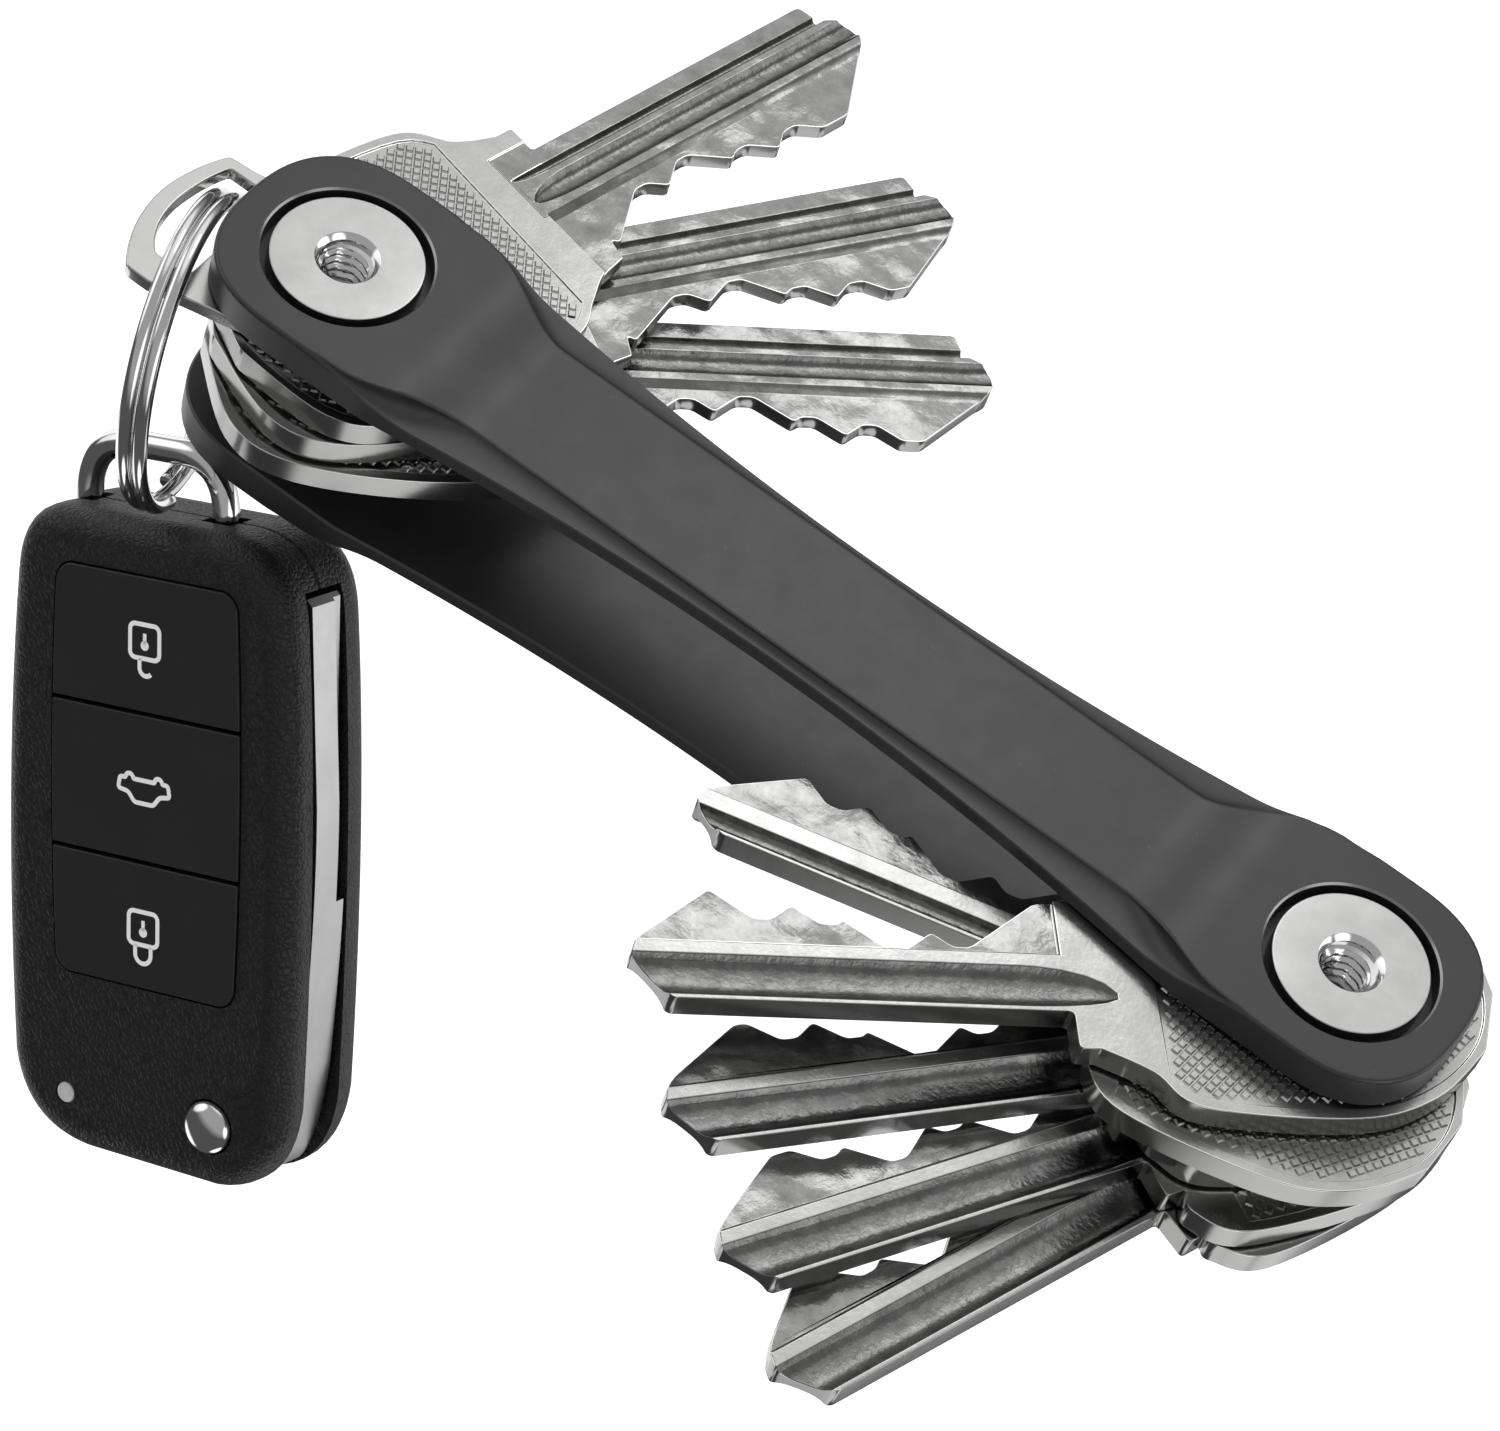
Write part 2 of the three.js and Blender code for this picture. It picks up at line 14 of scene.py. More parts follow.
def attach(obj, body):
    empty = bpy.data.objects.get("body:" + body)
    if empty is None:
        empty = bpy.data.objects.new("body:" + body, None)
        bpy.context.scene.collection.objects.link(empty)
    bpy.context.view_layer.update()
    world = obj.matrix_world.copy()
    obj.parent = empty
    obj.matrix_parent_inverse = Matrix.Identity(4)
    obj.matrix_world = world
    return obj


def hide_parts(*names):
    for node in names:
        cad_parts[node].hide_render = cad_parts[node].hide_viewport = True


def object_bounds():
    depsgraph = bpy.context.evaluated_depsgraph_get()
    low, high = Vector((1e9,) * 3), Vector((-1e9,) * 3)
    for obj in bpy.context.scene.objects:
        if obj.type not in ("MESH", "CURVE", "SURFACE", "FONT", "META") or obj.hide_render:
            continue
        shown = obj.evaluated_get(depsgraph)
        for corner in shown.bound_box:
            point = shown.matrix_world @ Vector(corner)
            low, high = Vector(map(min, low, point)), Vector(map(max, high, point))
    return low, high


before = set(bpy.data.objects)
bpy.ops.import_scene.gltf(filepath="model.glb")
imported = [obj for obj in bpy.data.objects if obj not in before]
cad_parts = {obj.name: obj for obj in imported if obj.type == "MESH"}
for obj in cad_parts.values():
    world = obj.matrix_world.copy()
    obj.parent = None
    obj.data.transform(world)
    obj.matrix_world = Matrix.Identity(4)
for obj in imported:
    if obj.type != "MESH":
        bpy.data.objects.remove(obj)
cad_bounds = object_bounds()

MM = 0.001
TAU = 2 * math.pi

# ---- Driving dimensions, as in the CAD model ----

POST_X = 41.75
PLATE = dict(thickness=3.0, pad_rise=1.25, end_half=8.57, waist_half=5.87, face_half=5.06,
             ramp_start=26.5, ramp_end=32.9, face_end=36.5, lip=1.25, lip_start=29.5, lip_end=37.5,
             cap_start=35.5, cap_end=39.5, chamfer=0.16, round_edge=0.32)
REAR_INNER = 1.75
FRONT_INNER = 13.85
BARREL_RADIUS = 3.0
FLANGE_RADIUS = 5.45
FLANGE_THICKNESS = 1.5
BORE_RADIUS = 1.95
COUNTERBORE = dict(radius=6.05, depth=1.7)
BORE_CLEARANCE = 0.05
LAYER_GAP = 0.1
EDGE_BREAK = 0.14
KEY_THICKNESS = 2.1
KEY_PITCH = 2.42
RING = dict(centre=(-49.45, -5.16, 4.23), axis=(0.943, 0.298, 0.148), radius=11.13, wire=0.55,
            pitch=1.16, turns=1.96)
FOB_ORIGIN = Vector((-36.77, -21.05, -20.56))
FOB_FRONT = Vector((-0.138, -0.893, 0.427)).normalized()
FOB_RIGHT = Vector((0.874, 0.094, 0.477))


# ---- Materials ----

def add_node(tree, kind, inputs, **settings):
    """A new node. Each input is linked from a socket or set to a number."""
    node = tree.nodes.new("ShaderNode" + kind)
    for name, value in settings.items():
        setattr(node, name, value)
    for name, value in inputs.items():
        if isinstance(value, bpy.types.NodeSocket):
            tree.links.new(value, node.inputs[name])
        else:
            node.inputs[name].default_value = value
    return node


def ramp(tree, value, low, high, start=0.0, end=1.0, shape="LINEAR"):
    inputs = {"Value": value, "From Min": start, "From Max": end, "To Min": low, "To Max": high}
    return add_node(tree, "MapRange", inputs, interpolation_type=shape).outputs["Result"]


def principled(name, colour, metallic, roughness, coat=0.0):
    material = bpy.data.materials.new(name)
    material.use_nodes = True
    sockets = material.node_tree.nodes["Principled BSDF"].inputs
    for name, value in (("Base Color", (*colour, 1)), ("Metallic", metallic),
                        ("Roughness", roughness), ("Coat Weight", coat)):
        sockets[name].default_value = value
    return material, sockets


class Finish:
    """A material whose colour, roughness and bumps come from noise in object coordinates."""

    def __init__(self, name, colour, metallic, roughness, coat=0.0):
        self.material, self.sockets = principled(name, colour, metallic, roughness, coat)
        self.tree = self.material.node_tree
        self.at = self.coordinates((1, 1, 1))

    def coordinates(self, scale):
        at = self.tree.nodes.new("ShaderNodeTexCoord").outputs["Object"]
        return add_node(self.tree, "Mapping", {"Vector": at, "Scale": scale}).outputs["Vector"]

    def noise(self, scale, detail, rough=0.6, at=None):
        inputs = {"Vector": at or self.at, "Scale": scale, "Detail": detail, "Roughness": rough}
        return add_node(self.tree, "TexNoise", inputs).outputs["Fac"]

    def sharpened(self, value, start, end):
        return ramp(self.tree, value, 0, 1, start, end)

    def mix(self, factor, a, b):
        a, b = ((*value, 1) if isinstance(value, tuple) else value for value in (a, b))
        inputs = {"Factor": factor, 6: a, 7: b}
        return add_node(self.tree, "Mix", inputs, data_type="RGBA").outputs[2]

    def colour(self, factor, a, b):
        self.tree.links.new(self.mix(factor, a, b), self.sockets["Base Color"])

    def roughness(self, factor, low, high):
        self.tree.links.new(ramp(self.tree, factor, low, high), self.sockets["Roughness"])

    def bump(self, height, strength, distance):
        """Adds a bump on top of those already there."""
        inputs = {"Height": height, "Strength": strength, "Distance": distance}
        normal = self.sockets["Normal"]
        if normal.links:
            inputs["Normal"] = normal.links[0].from_socket
        self.tree.links.new(add_node(self.tree, "Bump", inputs).outputs["Normal"], normal)


def anodised():
    look = Finish("anodised_black", (0.03, 0.03, 0.032), 0.85, 0.42)
    tint = look.mix(look.noise(60, 3), (0.066, 0.066, 0.068), (0.082, 0.082, 0.084))
    rubbed = look.sharpened(look.noise(1500, 5, 0.7), 0.66, 0.8)
    look.colour(rubbed, tint, (0.13, 0.13, 0.13))
    look.roughness(look.noise(400, 3), 0.36, 0.47)
    look.bump(look.noise(9000, 2), 0.12, 0.00004)
    return look.material


def key_nickel(name, bright, dark, rough, grain, grain_scale, wave):
    """Nickel-plated brass: fine pebbling, hairline scratches, and waves that bend reflections."""
    look = Finish(name, bright, 1.0, rough)
    look.colour(look.sharpened(look.noise(640, 6, 0.7), 0.3, 0.72), dark, bright)
    look.roughness(look.noise(700, 4), rough - 0.05, rough + 0.08)
    look.bump(look.noise(210, 1.5, 0.5), wave, 0.0009)
    look.bump(look.noise(grain_scale, 3, 0.55), grain, 0.00006)
    scratches = look.noise(1.0, 3, at=look.coordinates((300, 9000, 300)))
    look.bump(scratches, grain * 0.4, 0.00003)
    return look.material


def turned_disc():
    """Faced steel: a fine grain and faint clouding."""
    look = Finish("nickel_disc", (0.6, 0.6, 0.59), 1.0, 0.3)
    cloud = look.sharpened(look.noise(350, 6, 0.65), 0.35, 0.7)
    look.colour(cloud, (0.48, 0.48, 0.475), (0.57, 0.57, 0.56))
    look.roughness(look.noise(900, 4), 0.24, 0.36)
    look.bump(look.noise(6000, 2), 0.1, 0.00003)
    return look.material


def polished(name, colour, roughness):
    """Bright metal with the smears of handling."""
    look = Finish(name, colour, 1.0, roughness)
    smear = look.noise(500, 5)
    look.roughness(smear, roughness * 0.85, roughness * 1.3)
    look.colour(smear, tuple(c * 0.86 for c in colour), colour)
    look.bump(look.noise(4000, 2), 0.05, 0.00002)
    return look.material


def ground_steel():
    """Ground along the blade's length, so the grain runs that way."""
    look = Finish("ground_steel", (0.5, 0.5, 0.5), 1.0, 0.33)
    lines = look.noise(1.0, 5, at=look.coordinates((2500, 2500, 500)))
    look.colour(look.noise(180, 3), (0.4, 0.4, 0.4), (0.58, 0.58, 0.575))
    look.roughness(lines, 0.26, 0.42)
    look.bump(lines, 0.15, 0.00003)
    return look.material


def leather_grain():
    """Black moulded case with a cast-in leather grain: cells with wandering borders. The creases
    between the cells are coloured darker, as painted shade.
    """
    look = Finish("case_leather_grain", (0.007, 0.007, 0.007), 0.0, 0.42)
    look.sockets["Specular IOR Level"].default_value = 0.4
    warp = add_node(look.tree, "TexNoise", {"Vector": look.at, "Scale": 900}).outputs["Color"]
    shift = add_node(look.tree, "VectorMath", {0: warp, "Scale": 0.0006}, operation="SCALE")
    wandering = add_node(look.tree, "VectorMath", {0: look.at, 1: shift.outputs["Vector"]})
    inputs = {"Vector": wandering.outputs["Vector"], "Scale": 2100}
    cells = add_node(look.tree, "TexVoronoi", inputs, feature="DISTANCE_TO_EDGE")
    pebble_and_crease_shade = look.sharpened(cells.outputs["Distance"], 0.0, 0.22)
    look.bump(pebble_and_crease_shade, 0.5, 0.00008)
    look.bump(look.noise(7000, 2), 0.15, 0.00003)
    look.roughness(look.noise(250, 4), 0.36, 0.5)
    # Painted shade: the creases between the pebbles are coloured darker than their crowns.
    look.colour(pebble_and_crease_shade, (0.005, 0.005, 0.005), (0.01, 0.01, 0.01))
    return look.material


def mottled(name, colour, roughness, tones, clouds, gloss=None, grain=None, coat=0.0):
    """Clouded between two tones, with a patchy gloss and a fine grain where they are given."""
    look = Finish(name, colour, 0.0, roughness, coat)
    look.colour(look.noise(*clouds), *tones)
    if gloss:
        scale, low, high = gloss
        look.roughness(look.noise(scale, 4), low, high)
    if grain:
        scale, strength, distance = grain
        look.bump(look.noise(scale, 2), strength, distance)
    return look.material


LOOK = dict(
    anodised=anodised(),
    key=key_nickel("key_nickel", (0.5, 0.5, 0.49), (0.42, 0.42, 0.41), 0.24, 0.2, 3000, 0.1),
    # The groove's stippling is real texture; its darker colour is painted shade in the hollow.
    groove=key_nickel("key_groove_stippled_and_shaded", (0.25, 0.25, 0.245), (0.13, 0.13, 0.128),
                      0.2, 0.75, 2600, 0.3),
    land=key_nickel("key_cut_face", (0.35, 0.35, 0.345), (0.21, 0.21, 0.205),
                    0.16, 0.3, 2400, 0.55),
    # Painted highlight: the slanting rim of each counterbore gets this brighter colour.
    plate_rim=polished("plate_rim_painted_highlight", (0.3, 0.3, 0.3), 0.25),
    # Painted shade: the keys' upright side walls get this darker colour than their faces.
    edge=polished("key_side_painted_shade", (0.32, 0.32, 0.315), 0.18),
    # Painted highlight: the keys' small slanting bevel faces get this near-white colour.
    rim=polished("key_rim_painted_highlight", (0.9, 0.9, 0.89), 0.15),
    disc=turned_disc(),
    nickel=polished("nickel_plate", (0.62, 0.62, 0.61), 0.2),
    chrome=polished("chrome", (0.78, 0.78, 0.78), 0.08),
    blade=ground_steel(),
    case=leather_grain(),
    cap=mottled("button_soft_black", (0.016, 0.016, 0.016), 0.5,
                ((0.008, 0.008, 0.008), (0.012, 0.012, 0.012)), (200, 3),
                (300, 0.44, 0.56), (8000, 0.12, 0.00003)),
    ink=mottled("icon_ink", (0.85, 0.85, 0.85), 0.55,
                ((0.8, 0.8, 0.8), (0.92, 0.92, 0.92)), (900, 4), grain=(6000, 0.1, 0.00002)),
    lens=mottled("led_lens", (0.3, 0.3, 0.31), 0.25,
                 ((0.42, 0.42, 0.43), (0.6, 0.6, 0.61)), (1500, 3), coat=0.4),
    board=mottled("circuit_board_green", (0.02, 0.12, 0.05), 0.3,
                  ((0.015, 0.1, 0.04), (0.03, 0.16, 0.07)), (800, 3), coat=0.3),
)


# ---- Outlines ----

def arc(cx, cy, r, start, end, steps):
    """Points on an arc, angles in degrees."""
    angles = [math.radians(start + (end - start) * i / steps) for i in range(steps + 1)]
    return [(cx + r * math.cos(a), cy + r * math.sin(a)) for a in angles]


def quadratic(a, control, b, steps=8):
    """Points after a on the quadratic curve from a to b."""
    points = []
    for i in range(1, steps + 1):
        t = i / steps
        wa, wc, wb = (1 - t) ** 2, 2 * t * (1 - t), t * t
        points.append(tuple(wa * a[k] + wc * control[k] + wb * b[k] for k in (0, 1)))
    return points


def bend(points, control, goal, steps=8):
    """Continues the line of points on a quadratic curve."""
    points += quadratic(points[-1], control, goal, steps)


def spline_through(points, steps=8):
    """Catmull-Rom points after the first of the given points."""
    result = []
    last = len(points) - 1
    for i in range(last):
        p0, p1, p2, p3 = (points[min(max(k, 0), last)] for k in range(i - 1, i + 3))
        for j in range(1, steps + 1):
            t = j / steps
            result.append(tuple(catmull_rom(t, p0[k], p1[k], p2[k], p3[k]) for k in (0, 1)))
    return result


def catmull_rom(t, p0, p1, p2, p3):
    v0 = (p2 - p0) * 0.5
    v1 = (p3 - p1) * 0.5
    cubic = (2 * p1 - 2 * p2 + v0 + v1) * t ** 3
    return cubic + (-3 * p1 + 3 * p2 - 2 * v0 - v1) * t * t + v0 * t + p1


def rounded_rectangle(x0, x1, y0, y1, r, steps=6):
    return (arc(x1 - r, y1 - r, r, 0, 90, steps) + arc(x0 + r, y1 - r, r, 90, 180, steps)
            + arc(x0 + r, y0 + r, r, 180, 270, steps) + arc(x1 - r, y0 + r, r, 270, 360, steps))


def tidy(points, gap=0.02):
    """The closed outline without points that repeat."""
    kept = []
    for p in points:
        if not kept or math.dist(p, kept[-1]) > gap:
            kept.append(p)
    if math.dist(kept[0], kept[-1]) <= gap:
        kept.pop()
    return kept


def signed_area(points):
    return sum(a[0] * b[1] - b[0] * a[1] for a, b in zip(points, points[1:] + points[:1])) / 2


def inset(points, distance):
    """The anticlockwise outline moved inwards by a distance small beside its curves."""
    moved = []
    count = len(points)
    for i, (x, y) in enumerate(points):
        ax, ay = points[i - 1]
        bx, by = points[(i + 1) % count]
        n1 = Vector((-(y - ay), x - ax)).normalized()
        n2 = Vector((-(by - y), bx - x)).normalized()
        n = n1 + n2
        n = n / max(0.5, n.length_squared / 2)
        moved.append((x + n.x * distance, y + n.y * distance))
    return moved


# ---- Mesh helpers ----

def smoothstep(x, low, high):
    t = min(1.0, max(0.0, (x - low) / (high - low)))
    return t * t * (3 - 2 * t)


def lerp(a, b, t):
    return a + (b - a) * t


def skin(bm, loops, close_ends=True, wrap=False, material=0):
    """Joins loops of equal length into one shell, its ends capped or joined to each other."""
    rings = [[bm.verts.new(p) for p in loop] for loop in loops]
    count = len(rings[0])
    pairs = list(zip(rings, rings[1:]))
    if wrap:
        pairs.append((rings[-1], rings[0]))
    for a, b in pairs:
        for i in range(count):
            j = (i + 1) % count
            face = bm.faces.new((a[i], a[j], b[j], b[i]))
            face.material_index = material
    if close_ends and not wrap:
        bm.faces.new(list(reversed(rings[0]))).material_index = material
        bm.faces.new(rings[-1]).material_index = material


def shell(loops, wrap=False):
    """A closed body skinned over loops, with its faces turned outwards."""
    bm = bmesh.new()
    skin(bm, loops, wrap=wrap)
    bmesh.ops.recalc_face_normals(bm, faces=bm.faces)
    return bm


def prism(outline, z0, z1):
    """An extruded outline."""
    points = tidy(outline)
    if signed_area(points) < 0:
        points.reverse()
    return shell([[(x, y, z) for x, y in points] for z in (z0, z1)])


def lathe(profile, steps=64, centre=(0, 0)):
    """A solid turned about the Z axis. The (radius, z) profile closes on itself or the axis."""
    bm = bmesh.new()
    loops = []
    cx, cy = centre
    for k in range(steps):
        a = TAU * k / steps
        loops.append([(cx + r * math.cos(a), cy + r * math.sin(a), z) for r, z in profile])
    skin(bm, loops, wrap=True)
    bmesh.ops.remove_doubles(bm, verts=bm.verts, dist=1e-5)
    bmesh.ops.dissolve_degenerate(bm, edges=bm.edges, dist=1e-6)
    bmesh.ops.recalc_face_normals(bm, faces=bm.faces)
    return bm


def tube(centres, radius, sides=16):
    """A round bar along a line of points, with slightly rounded ends."""
    points = [Vector(p) for p in centres]
    loops = []
    normal = None
    last = len(points) - 1
    for i, p in enumerate(points):
        tangent = (points[min(i + 1, last)] - points[max(i - 1, 0)]).normalized()
        if normal is None:
            normal = tangent.orthogonal().normalized()
        normal = (normal - tangent * normal.dot(tangent)).normalized()
        across = tangent.cross(normal)
        turns = [TAU * k / sides for k in range(sides)]
        ring = [math.cos(a) * normal + math.sin(a) * across for a in turns]
        if i == 0:
            loops.append([p - tangent * 0.12 * radius + r * radius * 0.8 for r in ring])
        loops.append([p + r * radius for r in ring])
        if i == last:
            loops.append([p + tangent * 0.12 * radius + r * radius * 0.8 for r in ring])
    return shell(loops)


def to_object(bm, materials, name="work"):
    """The bmesh, which is used up, as an object."""
    mesh = bpy.data.meshes.new(name)
    bm.to_mesh(mesh)
    bm.free()
    for material in materials:
        mesh.materials.append(material)
    obj = bpy.data.objects.new(name, mesh)
    bpy.context.scene.collection.objects.link(obj)
    return obj


def solid(bm, *looks):
    return to_object(bm, [LOOK[look] for look in looks])


def apply_modifiers(obj):
    graph = bpy.context.evaluated_depsgraph_get()
    mesh = bpy.data.meshes.new_from_object(obj.evaluated_get(graph), depsgraph=graph)
    old = obj.data
    obj.modifiers.clear()
    obj.data = mesh
    bpy.data.meshes.remove(old)


def cut(obj, *cutters, operation="DIFFERENCE"):
    """Boolean cuts with bmeshes, which are used up. A cutter's faces keep their material index."""
    for bm in cutters:
        bmesh.ops.recalc_face_normals(bm, faces=bm.faces)
        tool = to_object(bm, list(obj.data.materials))
        mod = obj.modifiers.new("cut", "BOOLEAN")
        mod.operation = operation
        mod.solver = "EXACT"
        mod.material_mode = "INDEX"
        mod.object = tool
        apply_modifiers(obj)
        mesh = tool.data
        bpy.data.objects.remove(tool)
        bpy.data.meshes.remove(mesh)


def clean(obj, gap):
    """Merges the slivers that a boolean leaves, so that a bevel has room."""
    bm = bmesh.new()
    bm.from_mesh(obj.data)
    bmesh.ops.remove_doubles(bm, verts=bm.verts, dist=gap)
    bmesh.ops.dissolve_degenerate(bm, edges=bm.edges, dist=gap)
    bm.to_mesh(obj.data)
    bm.free()


def soften(obj, width, segments=2, angle=28, clamp=True):
    """Rounds every edge that turns by more than the angle."""
    mod = obj.modifiers.new("soften", "BEVEL")
    mod.width = width
    mod.segments = segments
    mod.limit_method = "ANGLE"
    mod.angle_limit = math.radians(angle)
    mod.use_clamp_overlap = clamp
    apply_modifiers(obj)
    return obj


def join_mesh(obj, bm, material=0):
    """Adds separate closed bodies to an object."""
    for face in bm.faces:
        face.material_index = material
    whole = bmesh.new()
    whole.from_mesh(obj.data)
    extra = bpy.data.meshes.new("extra")
    bm.to_mesh(extra)
    bm.free()
    whole.from_mesh(extra)
    whole.to_mesh(obj.data)
    whole.free()
    bpy.data.meshes.remove(extra)


def place(obj, node, body, matrix=Matrix.Identity(4), sharp=32):
    """Puts a finished millimetre mesh in the part's frame and hands it over for its CAD node."""
    obj.data.transform(Matrix.Scale(MM, 4) @ matrix)
    obj.data.shade_smooth()
    obj.data.set_sharp_from_angle(angle=math.radians(sharp))
    mod = obj.modifiers.new("weighted", "WEIGHTED_NORMAL")
    mod.keep_sharp = True
    mod.weight = 60
    apply_modifiers(obj)
    obj.name = obj.data.name = node + "_finished"
    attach(obj, body)
    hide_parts(node)


# ---- Plates ----

def plate_half(x):
    flare = PLATE["waist_half"] + 1.265 * (x / 23) ** 2
    beyond = max(0.0, abs(x) - POST_X) / PLATE["end_half"]
    return min(flare, PLATE["end_half"]) * (1 - min(1.0, beyond) ** 2.5) ** 0.4


def face_half(x):
    widening = smoothstep(abs(x), PLATE["ramp_start"], PLATE["face_end"])
    return lerp(PLATE["face_half"], PLATE["end_half"] - 0.3, widening)


def plate_height(x):
    waist = PLATE["thickness"] - PLATE["pad_rise"]
    return waist + PLATE["pad_rise"] * smoothstep(abs(x), PLATE["ramp_start"], PLATE["ramp_end"])


def plate_outline():
    """Half the outline runs along +Y from the right tip to the left tip, and half comes back."""
    end = POST_X + PLATE["end_half"]
    cap = [POST_X + PLATE["end_half"] * math.sin(math.radians(a)) ** 0.8 for a in range(90, 0, -5)]
    middle = [POST_X * (1 - i / 60) for i in range(121)]
    xs = cap + middle + [-x for x in reversed(cap)]
    upper = [(x, plate_half(x) if abs(x) < end - 1e-6 else 0.0) for x in xs]
    lower = [(x, -y) for x, y in reversed(upper[1:-1])]
    return upper + lower


def build_plate():
    """Loops from the middle of the flat back, round the rim, up the cove and over the face."""
    chamfer, round_edge = PLATE["chamfer"], PLATE["round_edge"]
    outline = plate_outline()
    inner = inset(outline, chamfer)
    back_middle = [(max(-POST_X, min(POST_X, x)), 0.0, 0.0) for x, y in inner]
    loops = [
        back_middle,
        [(x, y, 0.0) for x, y in inset(outline, 2 * chamfer)],
        [(x, y, 0.0) for x, y in inner],
        [(x, y, chamfer) for x, y in outline],
    ]
    lip_edge, lip_inner, coves = [], [], [[] for _ in range(8)]
    face_margins, face_shares = (0.1, 0.3), (0.3, 0.65, 1.0)
    faces = [[] for _ in (*face_margins, *face_shares)]
    for (x, y), (ix, iy) in zip(outline, inner):
        rim = Vector((x, y))
        inward = (Vector((ix, iy)) - rim) / chamfer
        top = plate_height(x)
        in_cap = smoothstep(abs(x), PLATE["cap_start"], PLATE["cap_end"])
        rising = smoothstep(abs(x), PLATE["lip_start"], PLATE["lip_end"])
        lip = lerp(lerp(PLATE["lip"], top - round_edge, rising), top - round_edge, in_cap)
        start = rim + inward * 0.1 * (1 - in_cap)
        lip_edge.append((x, y, lip - 0.1))
        lip_inner.append((start.x, start.y, lip))
        half = min(face_half(x), max(abs(iy) - 0.12, 0.0))
        goal = Vector((x, math.copysign(half, y))).lerp(rim + inward * round_edge, in_cap)
        for k, loop in enumerate(coves):
            turn = (k + 1) / len(coves) * math.pi / 2
            across = lerp(math.sin(turn), 1 - math.cos(turn), in_cap)
            rise = lerp(1 - math.cos(turn), math.sin(turn), in_cap)
            p = start.lerp(goal, across)
            loop.append((p.x, p.y, lerp(lip, top - 0.06 * (1 - in_cap), rise)))
        spine = Vector((max(-POST_X, min(POST_X, goal.x)), 0.0))
        to_spine = (spine - goal).normalized() if (spine - goal).length else inward
        near = [goal + to_spine * margin for margin in face_margins]
        near += [near[-1].lerp(spine, share) for share in face_shares]
        for p, loop in zip(near, faces):
            loop.append((p.x, p.y, plate_height(p.x)))
    bm = bmesh.new()
    skin(bm, [*loops, lip_edge, lip_inner, *coves, *faces], close_ends=False)
    bmesh.ops.remove_doubles(bm, verts=bm.verts, dist=1e-4)
    bmesh.ops.dissolve_degenerate(bm, edges=bm.edges, dist=1e-5)
    bmesh.ops.recalc_face_normals(bm, faces=bm.faces)
    obj = solid(bm, "anodised", "plate_rim")
    for x in (-POST_X, POST_X):
        cut_counterbore(obj, x)
    return obj


def cut_counterbore(obj, x):
    """The post's hole and the seat of its flange. Its slanting rim is coloured brighter than the
    plate, as a painted highlight.
    """
    top = PLATE["thickness"]
    seat = top - COUNTERBORE["depth"]
    r = COUNTERBORE["radius"]
    flare = 0.34
    hole = BARREL_RADIUS + BORE_CLEARANCE
    profile = [(0, -1), (hole, -1), (hole, seat), (r, seat), (r, top - EDGE_BREAK),
               (r + flare, top + 0.2), (0, top + 0.2)]
    cut(obj, lathe(profile, 96, (x, 0)))
    # Painted highlight: the rim's slanting faces take the brighter second material.
    for face in obj.data.polygons:
        from_post = math.hypot(face.center.x - x, face.center.y)
        slanting = 0.3 < face.normal.z < 0.95
        if r < from_post < r + 0.35 and slanting and face.center.z > seat:
            face.material_index = 1


# ---- Posts and spacers ----

def thread(z_low, z_high, angles, pitch=0.8, depth=0.33, steps=8):
    """Rows of a helical thread from the top down: a height, and the radius at each angle."""
    rows = []
    count = int((z_high - z_low) / pitch * steps)
    for i in range(count + 1):
        z = z_high - (z_high - z_low) * i / count
        ridges = [1 - abs(2 * ((z / pitch - a / TAU) % 1.0) - 1) for a in angles]
        rows.append((z, [BORE_RADIUS - depth * smoothstep(r, 0.15, 0.85) for r in ridges]))
    return rows


def build_barrel(x):
    """The flanged, tapped barrel: its profile goes up the outside and down the thread."""
    seat = FRONT_INNER + PLATE["thickness"] - COUNTERBORE["depth"] + LAYER_GAP
    top = seat + FLANGE_THICKNESS
    low = REAR_INNER - 0.8
    rim = EDGE_BREAK
    outside = [
        (low, BORE_RADIUS + 0.25), (low, BARREL_RADIUS - 0.2), (low + 0.2, BARREL_RADIUS),
        (seat, BARREL_RADIUS), (seat, FLANGE_RADIUS - rim), (seat + rim, FLANGE_RADIUS),
        (top - rim, FLANGE_RADIUS), (top - rim * 0.35, FLANGE_RADIUS - rim * 0.3),
        (top, FLANGE_RADIUS - rim), (top, 3.6), (top, BORE_RADIUS + 0.36),
        (top - 0.06, BORE_RADIUS + 0.28), (top - 0.42, BORE_RADIUS), (top - 0.9, BORE_RADIUS),
    ]
    angles = [TAU * k / 72 for k in range(72)]
    rows = [(z, [r] * len(angles)) for z, r in outside]
    rows += thread(low + 0.5, top - 1.0, angles)
    rows.append((low + 0.25, [BORE_RADIUS] * len(angles)))
    loops = []
    for z, radii in rows:
        loops.append([(x + r * math.cos(a), r * math.sin(a), z) for a, r in zip(angles, radii)])
    bm = shell(loops, wrap=True)
    for face in bm.faces:
        middle = face.calc_center_median()
        if math.hypot(middle.x - x, middle.y) < BORE_RADIUS + 0.34 and middle.z > seat - 3:
            face.material_index = 1
    return solid(bm, "disc", "chrome")


